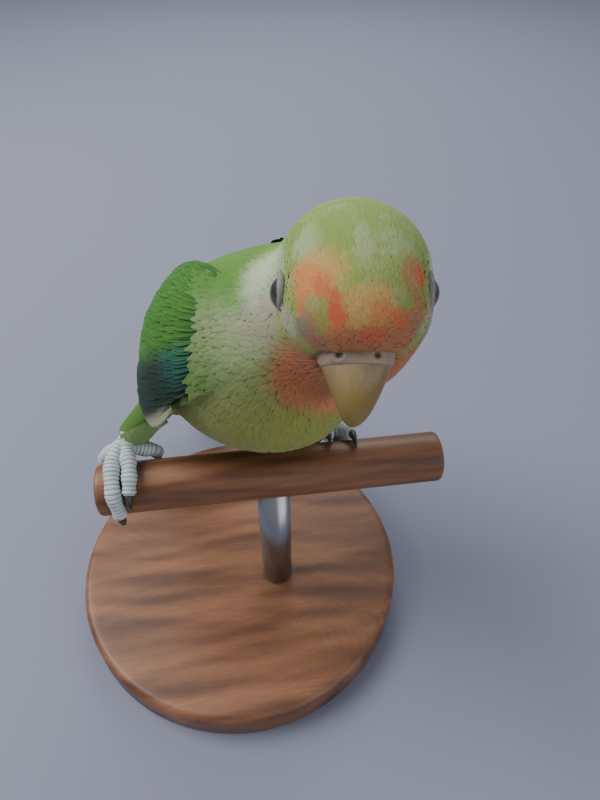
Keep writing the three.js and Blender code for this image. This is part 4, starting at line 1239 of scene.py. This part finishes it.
def makeEye(side, sign):
    middle = toHead(eyeMiddles[side])

    def eyeTone(points):
        q = toHead(points) - middle
        away = np.hypot(q[:, 0], q[:, 2]) / eyes["opening"]
        edge = ease(eyes["pupil"], eyes["pupil"] + 0.12, away)[:, None]
        return mix(linear(eyes["black"]), linear(eyes["iris"]), edge)

    ball = loftPiece("eyeball" + side.title(), eyeballRings(side, sign), eyeTone)
    finish(ball, eyeMaterial, ("eye_" + side,))
    rings = np.stack([lidPlace(side, sign, turnsOf(96), *place) for place in eyes["profile"]])
    index = np.arange(rings[..., 0].size).reshape(rings.shape[:2])
    ahead, aside = np.roll(index, -1, axis=1), np.roll(index, -1, axis=0)
    both = np.roll(ahead, -1, axis=0)
    order = (index, ahead, both, aside) if sign < 0 else (aside, both, ahead, index)
    lid = pieceFrom("eyelid" + side.title(), rings.reshape(-1, 3), np.stack(order, -1).reshape(-1, 4))
    path = lidPlace(side, sign, turnsOf(120), *eyes["beadRow"])
    source = pathObject("lidPath", [path], [np.ones(len(path))], True)
    sizes = {"Bead radius": eyes["beadRadius"] * mm, "Count": eyes["beads"]}
    beads = fromTree("lidBeads", source, lidBeads, sizes)
    for piece, light in ((lid, 1), (beads, 1.15)):
        paintOn(piece.data, evenly(eyes["lid"])(piece.data.vertices) * light)
    # the beads join the ring of the lid as one piece
    with bpy.context.temp_override(active_object=lid, selected_editable_objects=[lid, beads]):
        bpy.ops.object.join()
    finish(lid, lidMaterial)


for side, sign in sideSigns.items():
    makeEye(side, sign)
print("eyes ready")

# The feet: each toe is a list of places round the perch: along, angle and height over its bark.
feet = {
    "toeRadius": (1.9, 1.5), "shankRadius": 2.0, "scutePitch": 0.85, "ridge": 0.13, "sides": 20, "step": 0.09,
    "bulge": 0.07, "colour": "#C0CACC", "groove": "#6C7573",
    "right": {
        "shank": ((-21, -37, 5.8), (-21.8, -33, 4.3), (-22.1, -29, 2.6)),
        1: (((-21.6, -33, 3.4), (-18.7, -42, 2.4), (-16.3, -52, 1.7), (-15.8, -68, 1.4)), 4.5),
        2: (((-21.9, -26, 3.6), (-21, -3, 2.2), (-20.8, 22, 1.5), (-21.1, 52, 1.4)), 4),
        3: (((-22.8, -27, 3.8), (-24.3, -4, 2.3), (-24.4, 44, 1.5), (-23.7, 96, 1.4)), 5.5),
        4: (((-22.6, -34, 3.5), (-25.6, -45, 2), (-27.6, -70, 1.4), (-27.8, -104, 1.4)), 5.5),
    },
    "left": {
        "shank": ((19.5, -70, 11), (23, -70, 5), (22.7, -67, 2.6)),
        1: (((22.5, -70, 3.2), (20, -92, 1.6), (19, -122, 1.4), (19, -150, 1.4)), 5),
        2: (((24, -66, 3.2), (23.6, -58, 2.1), (23.4, -47, 1.5), (23.4, -36, 1.4)), 4.5),
        3: (((25, -66, 3.2), (27, -54, 2), (28.3, -40, 1.5), (28.9, -26, 1.4)), 5),
        4: (((25, -70, 3.2), (27.5, -92, 1.6), (28.4, -124, 1.4), (28, -156, 1.4)), 5.5),
    },
}


def throughPoints(points, step):
    # a smooth path through the points, sampled at even steps
    p = np.asarray(points, float)
    p = np.concatenate((2 * p[:1] - p[1:2], p, 2 * p[-1:] - p[-2:-1]))
    t = np.linspace(0, 1, 40, endpoint=False)[:, None]
    parts = [
        0.5 * (2 * b + (c - a) * t + (2 * a - 5 * b + 4 * c - d) * t**2 + (3 * b - a - 3 * c + d) * t**3)
        for a, b, c, d in zip(p, p[1:], p[2:], p[3:])
    ]
    path = np.concatenate(parts + [p[-2:-1]])
    gone = np.concatenate(([0], np.cumsum(np.linalg.norm(np.diff(path, axis=0), axis=1))))
    even = np.linspace(0, gone[-1], max(4, round(gone[-1] / step)))
    return np.stack([np.interp(even, gone, path[:, i]) for i in range(3)], -1)


def perchPath(places):
    along, angle, high = np.array(places, float).T
    return throughPoints(roundPerch(along, angle, perchRadius + gap + high), feet["step"])


def scuteTree(material):
    # a toe's skin round its path, with a narrow groove at every scute
    inputs = {"Path": "Geometry", "Pitch": "Float", "Ridge": "Float", "Sides": "Int"}
    tree, given = newTree("Scaly toe skin", inputs, "Toes")
    groove = addNode(tree, "GeometryNodeSplineParameter").outputs["Length"]
    # the length becomes 0 at the middle of each scute and 1 at the groove beside it
    for operation, other in (
        ("DIVIDE", given["Pitch"]), ("FRACT", 0.0), ("SUBTRACT", 0.5),
        ("ABSOLUTE", 0.0), ("MULTIPLY", 2.0), ("POWER", 4.0),
    ):
        groove = addNode(tree, "ShaderNodeMath", {"operation": operation}, {0: groove, 1: other}).outputs[0]
    radius = addNode(tree, "GeometryNodeInputRadius").outputs[0]
    deep = {0: groove, 1: given["Ridge"]}
    dip = addNode(tree, "ShaderNodeMath", {"operation": "MULTIPLY"}, deep).outputs[0]
    share = addNode(tree, "ShaderNodeMath", {"operation": "SUBTRACT"}, {0: 1.0, 1: dip}).outputs[0]
    width = addNode(tree, "ShaderNodeMath", {"operation": "MULTIPLY"}, {0: radius, 1: share}).outputs[0]
    kept = addNode(
        tree, "GeometryNodeStoreNamedAttribute", {"data_type": "FLOAT", "domain": "POINT"},
        {"Name": "groove", "Geometry": given["Path"], "Value": groove},
    ).outputs[0]
    round_ = {"Radius": mm, "Resolution": given["Sides"]}
    ring = addNode(tree, "GeometryNodeCurvePrimitiveCircle", inputs=round_).outputs["Curve"]
    tube = {"Curve": kept, "Profile Curve": ring, "Scale": width, "Fill Caps": True}
    return endTree(tree, addNode(tree, "GeometryNodeCurveToMesh", inputs=tube).outputs[0], material)


# Each claw arches on from its toe's end round the perch and narrows to its point.
claws = {
    "high": 1.5, "arch": 0.5, "drop": 0.75, "sunk": 0.25, "radius": (1.12, 0.1), "flat": 0.82,
    "rows": 30, "sides": 20,
    "colour": "#4A4442", "tip": "#2A2626",
}


def makeClaw(side, number, places, length, material):
    # starts inside the end of its toe and turns on in the toe's own direction
    along, angle, _ = places[-1]
    way = np.sign(angle - places[-2][1])
    perMm = np.degrees(1 / (perchRadius + claws["high"]))
    start = angle + way * (gap - claws["sunk"]) * perMm
    t = np.linspace(0, 1, claws["rows"])
    high = gap + claws["high"] + claws["arch"] * np.sin(math.pi * t) - claws["drop"] * t
    path = roundPerch(np.full_like(t, along), start + way * length * t * perMm * 0.92, perchRadius + high)
    forward = unit(np.gradient(path, axis=0))
    aside = unit(np.cross(forward, (1.0, 0.1, 0)))
    other = np.cross(aside, forward) * claws["flat"]
    radius = mix(*claws["radius"], t**1.15) * roundedEnd(t, 0.94, 0.9)
    turn = turnsOf(claws["sides"])[None, :, None]
    section = aside[:, None] * np.cos(turn) + other[:, None] * np.sin(turn)

    def tone(points):
        share = np.clip(np.linalg.norm(points - path[0], axis=-1) / length, 0, 1)
        return mix(linear(claws["colour"]), linear(claws["tip"]), share[:, None])

    rings = path[:, None] + radius[:, None, None] * section
    piece = loftPiece("clawTip" + side.title() + str(number), rings, tone)
    finish(piece, material, (f"claw_{side}_{number}",))


def makeFoot(side, tree, material, clawMaterial):
    paths, radii = [], []
    for key, value in feet[side].items():
        path = perchPath(value if key == "shank" else value[0])
        share = np.linspace(0, 1, len(path))
        base = np.full(len(path), feet["shankRadius"]) if key == "shank" else mix(*feet["toeRadius"], share)
        joints = 1 + feet["bulge"] * np.cos(2 * math.pi * share * (2 if key in (1, "shank") else 3))
        radii.append(base * joints * roundedEnd(share, 0.93, 0.6))
        paths.append(path)
    source = pathObject("toePaths", paths, radii)
    sizes = {"Pitch": feet["scutePitch"] * mm, "Ridge": feet["ridge"], "Sides": feet["sides"]}
    piece = fromTree("footSkin" + side.title(), source, tree, sizes)
    mesh = piece.data
    groove = np.zeros(len(mesh.vertices))
    mesh.attributes["groove"].data.foreach_get("value", groove)
    dark = (0.85 * np.clip(groove, 0, 1) ** 0.8)[:, None]
    paintOn(mesh, mix(linear(feet["colour"]), linear(feet["groove"]), dark))
    finish(piece, material, ("foot_" + side,))
    for key, value in feet[side].items():
        if key != "shank":
            makeClaw(side, key, *value, clawMaterial)
    print("foot", side, len(mesh.polygons), "faces")


# dry horny scales: matt and chalky, with dark lines between them
footMaterial = hornMaterial(
    "Dry scaly skin of the feet", {"Roughness": 0.7, "Subsurface Weight": 0.1, "Subsurface Scale": 0.8 * mm},
    ((1.8, 2, 0.12, 0.15), (0.35, 2, 0.08, 0.5)),
)
# hard smooth horn: dark, with a low shine along the ridge
clawMaterial = hornMaterial(
    "Dark horn of the claws", {"Roughness": 0.4, "Specular IOR Level": 0.45}, ((1.2, 2, 0.2, 0.2),)
)
toeTree = scuteTree(footMaterial)
for side in sideSigns:
    makeFoot(side, toeTree, footMaterial, clawMaterial)

# The display stand: a turned base, a steel post and the round wooden perch.
stand = {
    "sides": 128, "baseRadius": 44, "baseHeight": 9, "edge": 2, "chamfer": 0.6,
    "postRadius": 4, "endRound": 1, "wood": "#8B5E40", "woodDark": "#5E3B26", "steel": "#9B9DA0",
}


def latheRings(profile, axis, middle, sides):
    # profile is a list of (distance along the axis, radius)
    turn = turnsOf(sides)[:, None]
    axis = np.array(axis, float)
    a = np.roll(axis, 1)
    profile = np.array(profile, float)
    flat = np.cos(turn) * a + np.sin(turn) * np.cross(axis, a)
    return np.array(middle) + profile[:, 0, None, None] * axis + profile[:, 1, None, None] * flat


def woodTone(points):
    grain = cloud(points * (0.12, 1, 1), 7, 11) + 0.5 * cloud(points * (0.1, 1, 1), 2.2, 12)
    return mix(linear(stand["wood"]), linear(stand["woodDark"]), ease(-1.2, 1.6, grain)[:, None])


def makeStand():
    low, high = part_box("stand_perch")
    half = (high[0] - low[0]) / 2 / mm
    middle = boxMiddle("stand_perch")
    radius, edge = perchRadius, stand["endRound"]
    bend = np.radians(np.linspace(0, 90, 9))
    end = [(half - edge + edge * math.cos(a), radius - edge + edge * math.sin(a)) for a in bend]
    profile = end + [(s, radius) for s in np.linspace(half - edge, edge - half, 120)[1:-1]]
    profile += [(-s, r) for s, r in reversed(end)]
    perchPiece = loftPiece("perchWood", latheRings(profile, (1, 0, 0), middle, 96), woodTone)
    # turned hardwood rubbed with oil: a soft shine over grain that runs along X
    material = hornMaterial(
        "Turned oiled wood",
        {"Roughness": 0.45, "Specular IOR Level": 0.4, "Coat Weight": 0.12, "Coat Roughness": 0.35},
        ((4, 5, 0.14, 0.05), (0.6, 3, 0.12, 0.22)), (0.12, 1, 1),
    )
    finish(perchPiece, material, ("stand_perch",))
    r, top, edge, cut = stand["baseRadius"], stand["baseHeight"], stand["edge"], stand["chamfer"]
    profile = [(0, share) for share in np.linspace(0.5, r - cut, 12)] + [(cut, r)]
    profile += [(top - edge + edge * math.sin(a), r - edge + edge * math.cos(a)) for a in bend]
    profile += [(top, share) for share in np.linspace(r - edge, 0.5, 40)[1:]]
    basePiece = loftPiece("baseWood", latheRings(profile, (0, 0, 1), (0, 0, 0), stand["sides"]), woodTone)
    finish(basePiece, material, ("stand_base",))
    rod = stand["postRadius"]
    tip = perchMiddle[2] - math.sqrt(radius**2 - rod**2) + 0.2
    profile = [(top + gap, rod - 0.3), (top + gap + 0.3, rod), (tip, rod)]
    postRings = latheRings(profile, (0, 0, 1), (middle[0], middle[1], 0), 64)
    postPiece = loftPiece("postSteel", postRings, evenly(stand["steel"]))
    # steel brushed along its length: a soft metal shine in upright streaks
    brushed = {"Metallic": 1.0, "Roughness": 0.32}
    steel = hornMaterial("Brushed steel", brushed, ((0.5, 2, 0.06, 0.12),), (1, 1, 0.03))
    finish(postPiece, steel, ("stand_post",))


makeStand()
print("stand ready")

# Soft light from the upper left, a plain pale floor, and the camera where the photo was taken.
view = {"at": (5.23, -91.9, 163.4), "azimuth": -7.4, "elevation": 45, "lens": 27, "sensor": 36}
room = {
    "floor": "#858899", "floorHalf": 1500, "sky": "#DDE2F0", "skyLight": 0.5, "target": (10, -5, 85),
    "window": ((-420, 120, 600), 450, 5.4), "fill": ((450, -500, 200), 500, 1.4),
    "rim": ((100, 600, 500), 400, 2.0),
}


def makeCamera():
    data = bpy.data.cameras.new("camera")
    data.lens, data.sensor_width = view["lens"], view["sensor"]
    data.clip_start = 10 * mm
    camera = addObject("camera", data)
    a, e = math.radians(view["azimuth"]), math.radians(view["elevation"])
    back = Vector((math.sin(a) * math.cos(e), -math.cos(a) * math.cos(e), math.sin(e)))
    camera.location = Vector(view["at"]) * mm
    camera.rotation_euler = back.to_track_quat("Z", "Y").to_euler()
    scene.camera = camera


def makeStage():
    r = room["floorHalf"]
    corners = [(-r, -r, 0), (r, -r, 0), (r, r, 0), (-r, r, 0)]
    piece = pieceFrom("floor", corners, [(0, 1, 2, 3)])
    # uncoated card: no shine, so that only soft shadows show on it
    matt = {"Base Color": (*linear(room["floor"]), 1), "Roughness": 0.9}
    piece.data.materials.append(newMaterial("Pale matt card", matt)[0])
    world = bpy.data.worlds.new("room")
    world.use_nodes = True
    sky = world.node_tree.nodes["Background"].inputs
    sky[0].default_value = (*linear(room["sky"]), 1)
    sky[1].default_value = room["skyLight"]
    scene.world = world
    for name in ("window", "fill", "rim"):
        at, size, power = room[name]
        data = bpy.data.lights.new(name, "AREA")
        data.size, data.energy = size * mm, power
        light = addObject(name, data)
        light.location = Vector(at) * mm
        way = light.location - Vector(room["target"]) * mm
        light.rotation_euler = way.to_track_quat("Z", "Y").to_euler()


makeCamera()
makeStage()
print("scene ready")
